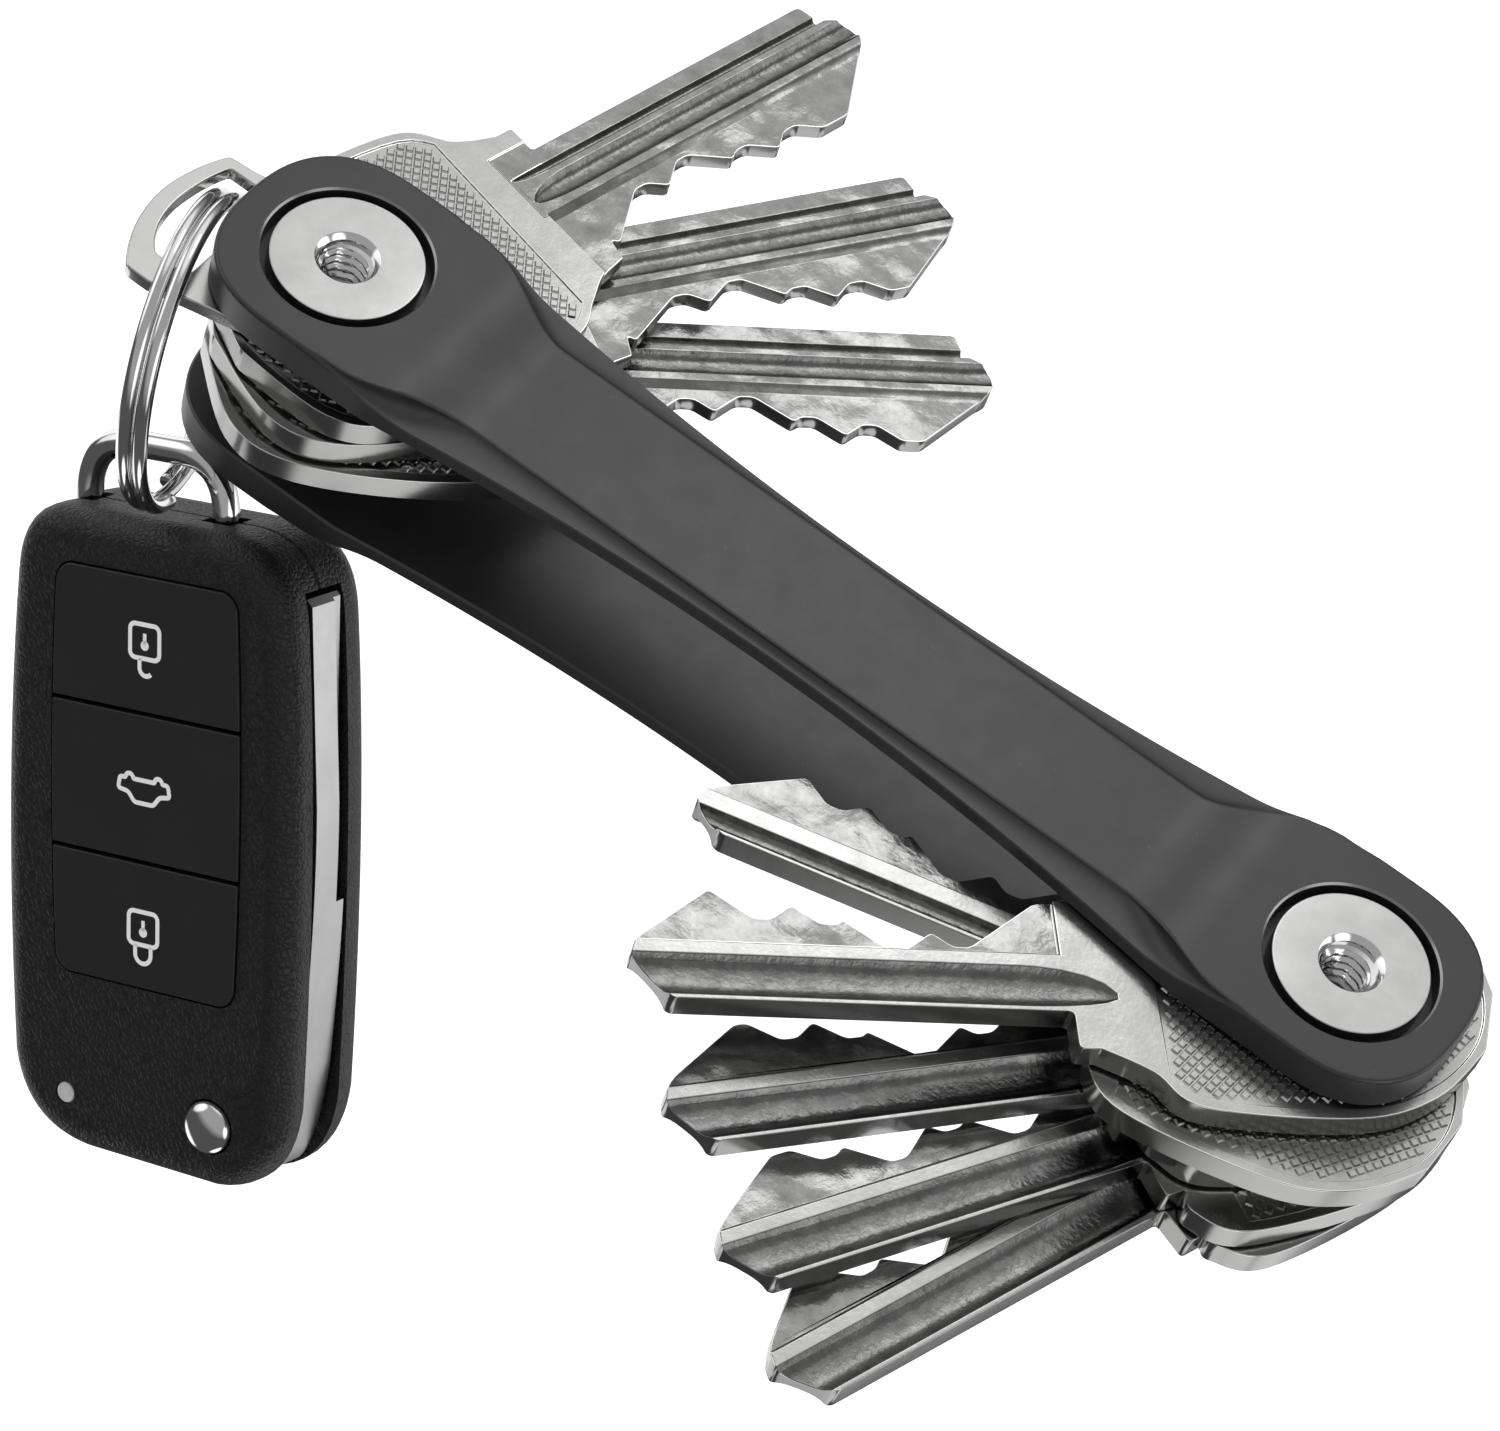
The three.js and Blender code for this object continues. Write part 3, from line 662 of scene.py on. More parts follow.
def build_post_screw(x):
    top = REAR_INNER - PLATE["thickness"] + COUNTERBORE["depth"] - LAYER_GAP
    bottom = top - FLANGE_THICKNESS
    rim, flange, shank, tip = EDGE_BREAK, FLANGE_RADIUS, 1.62, 12.0
    profile = [
        (0, bottom), (flange - rim, bottom), (flange, bottom + rim), (flange, top - rim),
        (flange - rim, top), (shank, top), (shank, tip - 0.3), (shank - 0.3, tip), (0, tip),
    ]
    obj = solid(lathe(profile, 72, (x, 0)), "disc")
    coin_slot = rounded_rectangle(x - 8, x + 8, -0.7, 0.7, 0.1)
    cut(obj, prism(coin_slot, bottom - 1, bottom + 0.8))
    return soften(obj, 0.08)


def build_spacer(x, bottom):
    outer, inner, rim, top = 5.2, BARREL_RADIUS + BORE_CLEARANCE, 0.15, bottom + 1.75
    profile = [
        (inner + rim, bottom), (outer - rim, bottom), (outer, bottom + rim), (outer, top - rim),
        (outer - rim, top), (inner + rim, top), (inner, top - rim), (inner, bottom + rim),
    ]
    return solid(lathe(profile, 72, (x, 0)), "nickel")


# ---- Keys ----
# A key lies along +X from its post hole with its teeth on the -Y side and its top face at z = 0.

CUT_FLAT = 1.1
CUT_SLOPE = 0.75
CUT_PITCH = 4.4
NECK_HALF = 5.35
BLANKS = dict(
    left=dict(
        end=-8.7, back=3.0, uncut=-6.6, first_cut=4.8, panel_end=15.0,
        upper=[(-7.0, 5.4), (-2.6, 8.7), (4.5, 10.1), (13.0, 9.4), (16.2, 6.6)],
        lower=[(-7.4, -7.4), (-3.6, -10.8), (4.5, -12.1), (12.2, -11.7), (15.2, -9.9),
               (17.4, -8.5), (19.9, -7.9)],
    ),
    right=dict(
        end=-10.9, back=2.6, uncut=-5.9, first_cut=6.9, panel_end=12.8,
        upper=[(-9.6, 4.5), (-5.6, 8.2), (0, 10.0), (10.4, 9.55), (13.6, 7.0)],
        lower=[(-9.6, -4.5), (-5.6, -8.2), (0, -10.0), (10.4, -9.55), (13.6, -7.0)],
    ),
)
KEYS = [
    dict(turn=-139.6, offset=0, shoulder=18.4, tip=47.4, cuts=[3.6, 4.0, 2.2, 2.0]),
    dict(turn=-164, offset=4.6, shoulder=15.0, tip=43.7, cuts=[2.4, 3.1, 1.4, 1.3], back=1.3),
    dict(turn=-129.6, offset=0.2, shoulder=15.9, tip=45.4, cuts=[2.9, 3.9, 2.0, 1.5]),
    dict(turn=-119.6, offset=2.0, shoulder=14.8, tip=44.6, cuts=[3.6, 2.0, 2.9, 1.3]),
    dict(turn=-109.3, offset=2.0, shoulder=15.2, tip=44.9, cuts=[1.5, 3.0, 3.9, 2.4], reach=0.93),
    dict(turn=77.3, offset=0, shoulder=20.6, tip=49.4, cuts=[3.0, 3.4, 1.8, 1.3]),
    dict(turn=57.7, offset=0.45, shoulder=20.6, tip=48.4, cuts=[3.0, 3.4, 1.8, 1.3]),
    dict(turn=41.8, offset=0.1, shoulder=20.6, tip=48.4, cuts=[3.0, 3.4, 1.8, 1.3]),
]
GROOVE_DEPTH = 0.62
LAND_DEPTH = 0.42
RELIEF_DEPTH = 0.07
PANEL_DEPTH = 0.17
KNURL_PITCH = 0.66
ABOVE = 0.3        # how far a cutter stands over the key's face
OVERRUN = 2        # how far it runs past the tip
BODY_FACE, GROOVE_FACE, LAND_FACE, SHADED_SIDE_FACE, PAINTED_HIGHLIGHT_FACE = range(5)


def bitting_points(cuts, start, uncut):
    points = []
    for i, depth in enumerate(cuts):
        s = start + i * CUT_PITCH
        points += [(s - CUT_FLAT / 2, uncut + depth), (s + CUT_FLAT / 2, uncut + depth)]
        if i + 1 < len(cuts):
            after = cuts[i + 1]
            middle = s + CUT_PITCH / 2 + (depth - after) / (2 * CUT_SLOPE)
            rise = (depth + after) / 2 - CUT_SLOPE * (CUT_PITCH - CUT_FLAT) / 2
            points.append((middle, uncut + max(0.0, rise)))
    return points


def bow_sides(key, blank):
    upper = [(s, n * key.get("reach", 1)) for s, n in blank["upper"]]
    return upper, list(blank["lower"])


def key_outline(key, blank, side):
    """From the bow's end round by the teeth to the tip, and home along the back."""
    shoulder, tip, cuts = key["shoulder"], key["tip"], key["cuts"]
    back, uncut = key.get("back", blank["back"]), blank["uncut"]
    upper, lower = bow_sides(key, blank)
    start = shoulder + blank["first_cut"]
    heel = lower[-1][0]
    first_rise = start - CUT_FLAT / 2 - cuts[0] / CUT_SLOPE
    last_fall = start + (len(cuts) - 1) * CUT_PITCH + CUT_FLAT / 2 + cuts[-1] / CUT_SLOPE
    points = [(blank["end"], 0.0)]
    points += spline_through([points[0], *lower])
    points += [
        (max(shoulder - 1.5, heel + 0.3), -NECK_HALF - 0.9),
        (max(shoulder, heel + 0.6), uncut),
        (first_rise, uncut),
        *bitting_points(cuts, start, uncut),
        (last_fall, uncut),
        (max(last_fall + 0.3, tip - 6.0), uncut),
        (tip - 1.6, -3.0),
    ]
    bend(points, (tip, -2.0), (tip, -0.6), 6)
    if side == "left":
        bend(points, (tip - 0.2, 0.6), (tip - 2.0, 1.2), 6)
    points += [(tip - 2.4, back), (shoulder, back)]
    points += [(shoulder, NECK_HALF), (shoulder - 1.5, NECK_HALF)]
    points += spline_through([points[-1], *reversed(upper)])
    return tidy(points, 0.05)


def round_corners(points, reach=0.35, steps=3, limit=18):
    """Rounds each corner sharper than the limit, as a milling cutter leaves it."""
    result = []
    count = len(points)
    for i, p in enumerate(points):
        a, b = points[i - 1], points[(i + 1) % count]
        u = Vector((p[0] - a[0], p[1] - a[1]))
        v = Vector((b[0] - p[0], b[1] - p[1]))
        if math.degrees(u.angle(v)) < limit:
            result.append(p)
            continue
        r = min(reach, u.length * 0.45, v.length * 0.45)
        first = Vector(p) - u.normalized() * r
        last = Vector(p) + v.normalized() * r
        result.append(tuple(first))
        result += quadratic(tuple(first), p, tuple(last), steps)
    return result


def channel(section, s0, s1):
    """A straight cutter: a closed (n, z) section swept along the blade."""
    bm = bmesh.new()
    skin(bm, [[(s, n, z) for n, z in section] for s in (s0, s1)], material=LAND_FACE)
    return bm


def groove(low, high, depth, start, end, run_out, tip_at):
    """A hollow-ground groove that fades out towards the bow, as a wheel leaves it."""
    sections = []
    for t in (0.0, 0.12, 0.3, 0.55, 0.8, 1.0):
        sections.append((start + run_out * t, math.sqrt(max(0.02, 1 - (1 - t) ** 2))))
    sections.append((end, 1.0))
    loops = []
    steps = 10
    centre = lerp(low, high, tip_at)
    for s, fade in sections:
        a, b = lerp(centre, low, fade), lerp(centre, high, fade)
        loop = [(s, b, ABOVE), (s, a, ABOVE)]
        for k in range(steps + 1):
            u = k / steps
            fall = 1 - abs(2 * u - 1) ** 3.2
            loop.append((s, lerp(a, b, u), -depth * fade * fall if fall > 0 else 0.001))
        loops.append(loop)
    bm = bmesh.new()
    skin(bm, loops, material=GROOVE_FACE)
    return bm


def flip(bm):
    """The same body on the key's lower face, with its faces inside out."""
    for v in bm.verts:
        v.co.z = -KEY_THICKNESS - v.co.z
    return bm


def shifted(bm, dy):
    for v in bm.verts:
        v.co.y += dy
    return bm


def inside(point, polygon):
    x, y = point
    hit = False
    for (ax, ay), (bx, by) in zip(polygon, polygon[1:] + polygon[:1]):
        if (ay > y) != (by > y) and x < (bx - ax) * (y - ay) / (by - ay) + ax:
            hit = not hit
    return hit


def panel_outline(key, blank):
    """The knurled field: the bow's outline with a margin, stopped by a line across the bow."""
    upper, lower = bow_sides(key, blank)
    end = (blank["end"], 0.0)
    around = spline_through([upper[-1], *reversed(upper[:-1]), end, *lower[:5]], 5)
    limit = min(blank["panel_end"], key["shoulder"] - 3.6)
    return tidy([p for p in inset(around, 0.8) if p[0] < limit - 0.1], 0.2)


def knurl(outline, offset):
    """Small truncated pyramids on a diagonal grid, all of them inside the outline."""
    clear, hub = 0.38, 4.2
    foot, crown = 0.47 * KNURL_PITCH * 1.3, 0.33 * KNURL_PITCH * 1.3
    levels = ((foot, -PANEL_DEPTH - 0.05), (foot, -PANEL_DEPTH), (crown, -0.015))
    xs, ys = zip(*outline)
    step = KNURL_PITCH / math.sqrt(2)
    columns = int((max(xs) - min(xs)) / step) + 2
    rows = int((max(ys) - min(ys)) / step) + 2
    bm = bmesh.new()
    for i in range(columns):
        for j in range(i % 2, rows, 2):
            x, y = min(xs) + i * step, min(ys) + j * step
            near = [(x + clear, y), (x, y + clear), (x - clear, y), (x, y - clear)]
            if math.hypot(x, y + offset) < hub or not all(inside(p, outline) for p in near):
                continue
            skin(bm, [[(x + r, y, z), (x, y + r, z), (x - r, y, z), (x, y - r, z)]
                      for r, z in levels])
    bmesh.ops.recalc_face_normals(bm, faces=bm.faces)
    return shifted(bm, offset)


def key_tools(key, blank, side):
    """Cutters for one face: the land below the teeth, the grooves and the bow's sunk panel."""
    shoulder, end = key["shoulder"], key["tip"] + OVERRUN
    if side == "left":
        land = [(-9, ABOVE), (-9, -LAND_DEPTH), (-2.75, -LAND_DEPTH), (-1.95, 0.01), (-1.95, ABOVE)]
        relief = [(-2.3, ABOVE), (-2.3, -RELIEF_DEPTH), (3.9, -RELIEF_DEPTH), (3.9, ABOVE)]
        tools = [
            channel(land, shoulder - 3.0, end),
            channel(relief, shoulder - 3.2 - 0.25, end),
            groove(-1.5, 0.55, GROOVE_DEPTH, shoulder - 3.0, end, 4.0, 0.3),
            groove(1.0, 1.66, 0.55, shoulder - 3.2, end, 3.0, 0.9),
        ]
    else:
        back = key.get("back", blank["back"])
        land = [(-9, ABOVE), (-9, -LAND_DEPTH), (-1.95, -LAND_DEPTH), (-1.72, 0.01), (-1.72, ABOVE)]
        tools = [
            channel(land, shoulder + 0.4, end),
            groove(-0.78 * back / 2.6, back - 0.3, GROOVE_DEPTH, shoulder - 3.1, end, 6.5, 0.72),
        ]
    tools.append(prism(inset(panel_outline(key, blank), -0.05), -PANEL_DEPTH, 0.4))
    return [shifted(tool, key["offset"]) for tool in tools]


def build_key(key, side):
    blank = BLANKS[side]
    outline = round_corners(key_outline(key, blank, side))
    body = shifted(prism(outline, -KEY_THICKNESS, 0.0), key["offset"])
    obj = solid(body, "key", "groove", "land", "edge", "rim")
    cut(obj, *key_tools(key, blank, side))
    cut(obj, *[flip(tool) for tool in key_tools(key, blank, side)])
    cut(obj, disc(BARREL_RADIUS + BORE_CLEARANCE, -4, 4, 0, 0, 48))
    clean(obj, 0.03)
    soften(obj, 0.08, 2, 30, clamp=False)
    for face in obj.data.polygons:
        slope = abs(face.normal.z)
        # Painted shade: upright side walls get a darker colour than the faces.
        if slope < 0.25:
            face.material_index = SHADED_SIDE_FACE
        # Painted highlight: small slanting bevel faces outside the grooves get the near-white rim
        # colour.
        elif slope < 0.96 and face.material_index != GROOVE_FACE and face.area < 1.5:
            face.material_index = PAINTED_HIGHLIGHT_FACE
    field = panel_outline(key, blank)
    join_mesh(obj, knurl(field, key["offset"]), BODY_FACE)
    # The lower panel's cutter, inside out, only marks its outline: that face stays plain, and
    # its pyramids lie hidden in the solid.
    below = flip(knurl(field, key["offset"]))
    bmesh.ops.reverse_faces(below, faces=below.faces)
    join_mesh(obj, below, BODY_FACE)
    return obj


# ---- Loop plate and split ring ----

def build_loop_plate():
    points = arc(0, 0, 7.6, -105, 118, 40)
    points += [(-9.9, 3.9), (-12.7, 3.7)]
    bend(points, (-14.1, 0.9), (-14.2, -2.1))
    bend(points, (-14.1, -6.2), (-11.6, -9.2))
    points += [(-9.7, -9.2)]
    hole = [(-8.1, -6.8), (-8.1, 2.8), (-11.9, 2.8)]
    bend(hole, (-12.7, 0.8), (-12.8, -2.0))
    bend(hole, (-12.7, -5.2), (-10.9, -6.8))
    top = FRONT_INNER - LAYER_GAP
    obj = solid(prism(round_corners(tidy(points), 0.9, 5), top - 1.15, top), "nickel")
    opening = prism(round_corners(tidy(hole), 0.7, 5), top - 3, top + 1)
    cut(obj, opening, disc(BARREL_RADIUS + BORE_CLEARANCE, top - 3, top + 1, 0, 0, 48))
    return soften(obj, 0.16, 3)


def build_split_ring():
    """Two turns of wire, with the step between them half way round."""
    points = []
    r = RING["radius"]
    steps = 260
    for i in range(steps + 1):
        t = i / steps
        angle = t * RING["turns"] * TAU
        height = RING["pitch"] * (smoothstep(t, 0.4, 0.6) - 0.5)
        points.append((r * math.cos(angle), r * math.sin(angle), height))
    return solid(tube(points, RING["wire"]), "chrome")


# ---- Flip-key remote ----
# Its own frame: origin in the middle of the button face, +Y towards the bail, +Z out of the face.

FOB = dict(left=13.8, right=13.0, end_half=12.0, top=19.4, bottom=-29.5, depth=10.6, seam=-4.8,
           edge=2.2)
PANEL = dict(half=8.55, top=15.75, divider=5.55, bottom=-15.2, gap=0.15, depth=1.7)
HUB = (5.9, -24.4)
HUB_RADIUS = 4.2
HUB_SWEEP = 6.4
FOLDED = dict(inner=7.4, outer=12.75, top=15.2, front=-3.3, rear=-6.9)
CAVITY = (-10.6, 5.6, -14.6, 13.6)
CAVITY_FRONT = -2.3
CAVITY_REAR = -8.4
FOB_SCREW = (-6.5, -20.4)
LED = (-7.2, -24.6)
BAIL = dict(left=-8.8, right=3.4, y=23.8, corner=4.2, wire=1.0, z=-4.8, foot=16.2)
RELEASE_RADIUS = 2.0
CAP_TOP = 0.15
ICON_STROKE = 0.34
INK = (CAP_TOP - 0.06, CAP_TOP + 0.012)   # the printed symbols' foot and top
SEAM_GAP = 0.05


def fob_outline():
    left, right, e, top, bottom = (FOB[k] for k in ("left", "right", "end_half", "top", "bottom"))
    points = [(-e + 3.6, top), (e - 5.5, top)]
    for control, goal in (
        ((e - 0.3, top - 0.4), (e + 0.1, top - 6)),
        ((right + 0.2, -2), (e + 0.2, bottom + 7)),
        ((e - 0.6, bottom + 0.8), (e - 6, bottom + 0.1)),
    ):
        bend(points, control, goal, 12)
    points.append((-e + 6, bottom + 0.5))
    for control, goal in (
        ((-e + 0.1, bottom + 1.2), (-e - 0.9, bottom + 7)),
        ((-left - 0.3, -2), (-e - 0.6, top - 5)),
        ((-e - 0.2, top - 0.3), (-e + 3.6, top)),
    ):
        bend(points, control, goal, 12)
    points = tidy(points)
    points.reverse()
    return resample(points, 160)


def resample(points, count):
    """The closed outline as evenly spaced points, so that offsets stay smooth."""
    closed = points + points[:1]
    lengths = [math.dist(a, b) for a, b in zip(closed, closed[1:])]
    total = sum(lengths)
    result = []
    index, walked = 0, 0.0
    for i in range(count):
        goal = total * i / count
        while walked + lengths[index] < goal:
            walked += lengths[index]
            index += 1
        t = (goal - walked) / lengths[index]
        a, b = closed[index], closed[index + 1]
        result.append((lerp(a[0], b[0], t), lerp(a[1], b[1], t)))
    return result


def rounded_shell(z_open, z_closed, height):
    """A solid with a flat open side and a softly rounded closed side."""
    outline = fob_outline()
    edge = FOB["edge"]
    way = 1 if z_closed > z_open else -1
    levels = [(0.14, z_open), (0.03, z_open + way * 0.07), (0.0, z_open + way * 2 * 0.07),
              (0.0, z_closed - way * height)]
    for angle in (math.radians(a) for a in range(9, 91, 9)):
        z = z_closed - way * height * (1 - math.sin(angle))
        levels.append((edge * (1 - math.cos(angle)), z))
    return shell([[(x, y, z) for x, y in inset(outline, reach)] for reach, z in levels])


def block(x0, x1, y0, y1, z0, z1):
    return prism([(x0, y0), (x1, y0), (x1, y1), (x0, y1)], z0, z1)


def disc(radius, z0, z1, x, y, steps=40):
    return lathe([(0, z0), (radius, z0), (radius, z1), (0, z1)], steps, (x, y))


def blade_slots(z0, z1):
    return [
        block(FOLDED["inner"] - 0.4, 20, HUB[1], FOLDED["top"] + 0.5, z0, z1),
        disc(HUB_SWEEP, z0 - 0.01, z1 + 0.01, *HUB, 48),
        block(HUB[0] - HUB_SWEEP, 20, -40, HUB[1] + 1.4, z0, z1),
    ]


def bail_sockets():
    reach = BAIL["wire"] + 0.3
    return [
        block(x - reach, x + reach, BAIL["foot"] - 0.3, 30, BAIL["z"] - reach, BAIL["z"] + reach)
        for x in (BAIL["left"], BAIL["right"])
    ]


def window_outline(gap=0.0):
    """The button window: rounded corners, and long sides that bow outwards a little."""
    half, top, bottom = PANEL["half"] - gap, PANEL["top"] - gap, PANEL["bottom"] + gap
    outline = []
    plain = rounded_rectangle(-half, half, bottom, top, 1.6 - gap, 10)
    for (ax, ay), (bx, by) in zip(plain, plain[1:] + plain[:1]):
        pieces = max(1, round(math.dist((ax, ay), (bx, by)) / 1.5))
        outline += [(lerp(ax, bx, k / pieces), lerp(ay, by, k / pieces)) for k in range(pieces)]
    middle, reach = (top + bottom) / 2, (top - bottom) / 2
    return [(x * (1 - 0.05 * ((y - middle) / reach) ** 2), y) for x, y in outline]


def build_front_shell():
    obj = solid(rounded_shell(FOB["seam"] + SEAM_GAP, 0.0, FOB["edge"]), "case")
    cut(obj, prism(window_outline(), -2.4, 1), block(*CAVITY, -6, CAVITY_FRONT))
    cut(obj, *blade_slots(-6, FOLDED["front"] + 0.35), *bail_sockets())
    cut(obj, disc(0.86, -5, 1, *LED), disc(RELEASE_RADIUS + 0.1, -5, 1, *HUB))
    return soften(obj, 0.1, 2, 40)


def build_rear_shell():
    obj = solid(rounded_shell(FOB["seam"] - SEAM_GAP, -FOB["depth"], FOB["edge"] + 0.6), "case")
    cut(obj, block(*CAVITY, CAVITY_REAR, 0))
    cut(obj, *blade_slots(FOLDED["rear"] - 0.35, 0), *bail_sockets(), disc(3.3, -9.2, -5, *HUB))
    cut(obj, disc(1.0, -12, 1, *FOB_SCREW), disc(1.9, -12, -9.1, *FOB_SCREW))
    return soften(obj, 0.1, 2, 40)


def build_button(y0, y1):
    half, gap = PANEL["half"], PANEL["gap"]
    obj = solid(prism(window_outline(gap), -PANEL["depth"], CAP_TOP), "cap", "ink")
    cut(obj, block(-half, half, y0 + gap, y1 - gap, -5, 1), operation="INTERSECT")
    return soften(obj, 0.13, 3, 40)


def ribbon(points, width, closed=False):
    """A flat printed stroke with a little height."""
    count = len(points)
    left, right = [], []
    for i, p in enumerate(points):
        before = points[i - 1] if closed or i else p
        after = points[(i + 1) % count] if closed or i < count - 1 else p
        d1 = Vector((p[0] - before[0], p[1] - before[1]))
        d2 = Vector((after[0] - p[0], after[1] - p[1]))
        d1 = d1.normalized() if d1.length else d2.normalized()
        d2 = d2.normalized() if d2.length else d1
        n = Vector((-(d1 + d2).y, (d1 + d2).x)).normalized()
        spread = width / 2 / max(0.6, n.dot(Vector((-d1.y, d1.x))))
        left.append((p[0] + n.x * spread, p[1] + n.y * spread))
        right.append((p[0] - n.x * spread, p[1] - n.y * spread))
    foot, top = INK
    sections = [[(*a, foot), (*b, foot), (*b, top), (*a, top)] for a, b in zip(left, right)]
    return shell(sections, wrap=closed)


def padlock_icon(cy, opened):
    """A padlock drawn with its shackle towards -Y. An opened one hangs on one leg."""
    body = rounded_rectangle(-1.3, 1.3, cy - 1.25, cy + 1.25, 0.45, 5)
    foot = cy - 1.95
    if opened:
        shackle = [(-0.45, cy - 1.3), *arc(0.12, foot, 0.57, 180, 320, 12)]
    else:
        shackle = [(-0.7, cy - 1.3), *arc(0, foot, 0.7, 180, 360, 14), (0.7, cy - 1.3)]
    return [
        ribbon(tidy(body), ICON_STROKE, True),
        disc(0.36, *INK, 0, cy - 0.3, 20),
        ribbon([(0, cy - 0.2), (0, cy + 0.6)], 0.3),
        ribbon(shackle, ICON_STROKE),
    ]


def car_icon(cy):
    """A car from the side with its wheels towards +Y, drawn as one line."""
    wheels = [arc(x, 0.62, 0.36, start, start + 180, 6) for x, start in ((1.3, 0), (-1.3, 0))]
    body = [(2.15, 0.62), *wheels[0], *wheels[1], (-2.15, 0.62)]
    body += [(-2.3, -0.25), (-1.4, -0.4), (-0.85, -1.1), (0.85, -1.1), (1.4, -0.4), (2.3, -0.25)]
    line = [(x, cy + y) for x, y in reversed(body)]
    return [ribbon(round_corners(line, 0.22, 3), ICON_STROKE, True)]


def build_release_button():
    """A domed cap on a stem."""
    r, brim, rise = RELEASE_RADIUS, 0.1, 1.0
    slopes = [math.radians(a) for a in range(10, 86, 8)]
    dome = [(0, -1.6), (r, -1.6), (r, brim)]
    dome += [(r * math.cos(a), brim + rise * math.sin(a)) for a in slopes]
    dome += [(0.0, brim + rise)]
    obj = solid(lathe(dome, 48, HUB), "chrome")
    cut(obj, disc(1.15, -2.7, -1.3, *HUB), operation="UNION")
    return obj


def build_blade():
    inner, outer, top = FOLDED["inner"], FOLDED["outer"], FOLDED["top"]
    rear, front = FOLDED["rear"], FOLDED["front"]
    outline = [(inner, top), (inner, HUB[1] + 1.2), (HUB[0] + 3.2, HUB[1] - 3.6)]
    bend(outline, (10.8, -26.2), (11.7, -20))
    bend(outline, (outer + 0.1, -8), (outer, 0))
    outline += [(12.1, top - 0.5), (11.6, top)]
    obj = solid(prism(outline, rear, front), "blade")
    track = [(8.6, -16), (9.3, -10), (8.5, -4), (9.4, 2), (8.8, 8), (9.2, 16)]
    track = spline_through(track, 6)
    milled = [(x + 0.85, y) for x, y in track] + [(x - 0.55, y) for x, y in reversed(track)]
    hub_hole = disc(HUB_RADIUS + BORE_CLEARANCE, -10, 0, *HUB)
    thinned_back = block(11.9, 14, -7.5, 16, rear - 1, rear + 0.9)
    cut(obj, prism(milled, front - 0.7, 0), hub_hole, thinned_back)
    return soften(obj, 0.09, 2, 35)


def build_bail():
    left, right, y, corner = BAIL["left"], BAIL["right"], BAIL["y"], BAIL["corner"]
    foot, z = BAIL["foot"], BAIL["z"]
    flat = [(left, foot), (left, y - corner)]
    bend(flat, (left, y), (left + corner, y), 12)
    flat.append((right - corner, y))
    bend(flat, (right, y), (right, y - corner), 12)
    flat.append((right, foot))
    return solid(tube([(px, py, z) for px, py in flat], BAIL["wire"], 20), "chrome")


def build_fob_screw():
    """A cross-head case screw, seen from the rear."""
    x, y = FOB_SCREW
    profile = [(0, -10.3), (1.45, -10.3), (1.7, -10.1), (1.7, -9.4), (0.85, -9.3), (0.85, -5.7),
               (0, -5.6)]
    obj = solid(lathe(profile, 40, (x, y)), "blade")
    for dx, dy in ((0.95, 0.2), (0.2, 0.95)):
        cut(obj, block(x - dx, x + dx, y - dy, y + dy, -11, -9.85))
    return soften(obj, 0.04)


# ---- Assembly ----

def make_plates():
    front = Matrix.Translation((0, 0, FRONT_INNER))
    rear = Matrix.Translation((0, 0, REAR_INNER)) @ Matrix.Rotation(math.pi, 4, "X")
    for node, matrix in (("front_plate", front), ("rear_plate", rear)):
        place(build_plate(), node, "organiser", matrix)


def make_posts():
    for side, x in (("left", -POST_X), ("right", POST_X)):
        place(build_barrel(x), f"post_barrel_{side}", "organiser")
        place(build_post_screw(x), f"post_screw_{side}", "organiser")
    for index in (1, 2):
        spacer = build_spacer(-POST_X, REAR_INNER + LAYER_GAP + (index - 1) * 1.85)
        place(spacer, f"spacer_left_{index}", "organiser")


def make_keys():
    """The right keys come first in KEYS. Each side is a stack, counted down from the front."""
    for index, key in enumerate(KEYS):
        side, post, first = ("right", POST_X, 0.16) if index < 5 else ("left", -POST_X, 1.36)
        layer = index % 5
        name = f"key_{side}_{layer + 1}"
        at = Matrix.Translation((post, 0, FRONT_INNER - first - layer * KEY_PITCH))
        turned = Matrix.Rotation(math.radians(key["turn"]), 4, "Z")
        place(build_key(key, side), name, name, at @ turned, 24)


def make_loop_and_ring():
    at_post = Matrix.Translation((-POST_X, 0, 0))
    place(build_loop_plate(), "loop_plate", "loop", at_post)
    turn = Vector((0, 0, 1)).rotation_difference(Vector(RING["axis"])).to_matrix().to_4x4()
    at = Matrix.Translation(RING["centre"]) @ turn
    place(build_split_ring(), "split_ring", "ring", at, 60)


def fob_matrix():
    right = (FOB_RIGHT - FOB_FRONT * FOB_RIGHT.dot(FOB_FRONT)).normalized()
    up = FOB_FRONT.cross(right)
    turn = Matrix((right, up, FOB_FRONT)).transposed().to_4x4()
    return Matrix.Translation(FOB_ORIGIN) @ turn


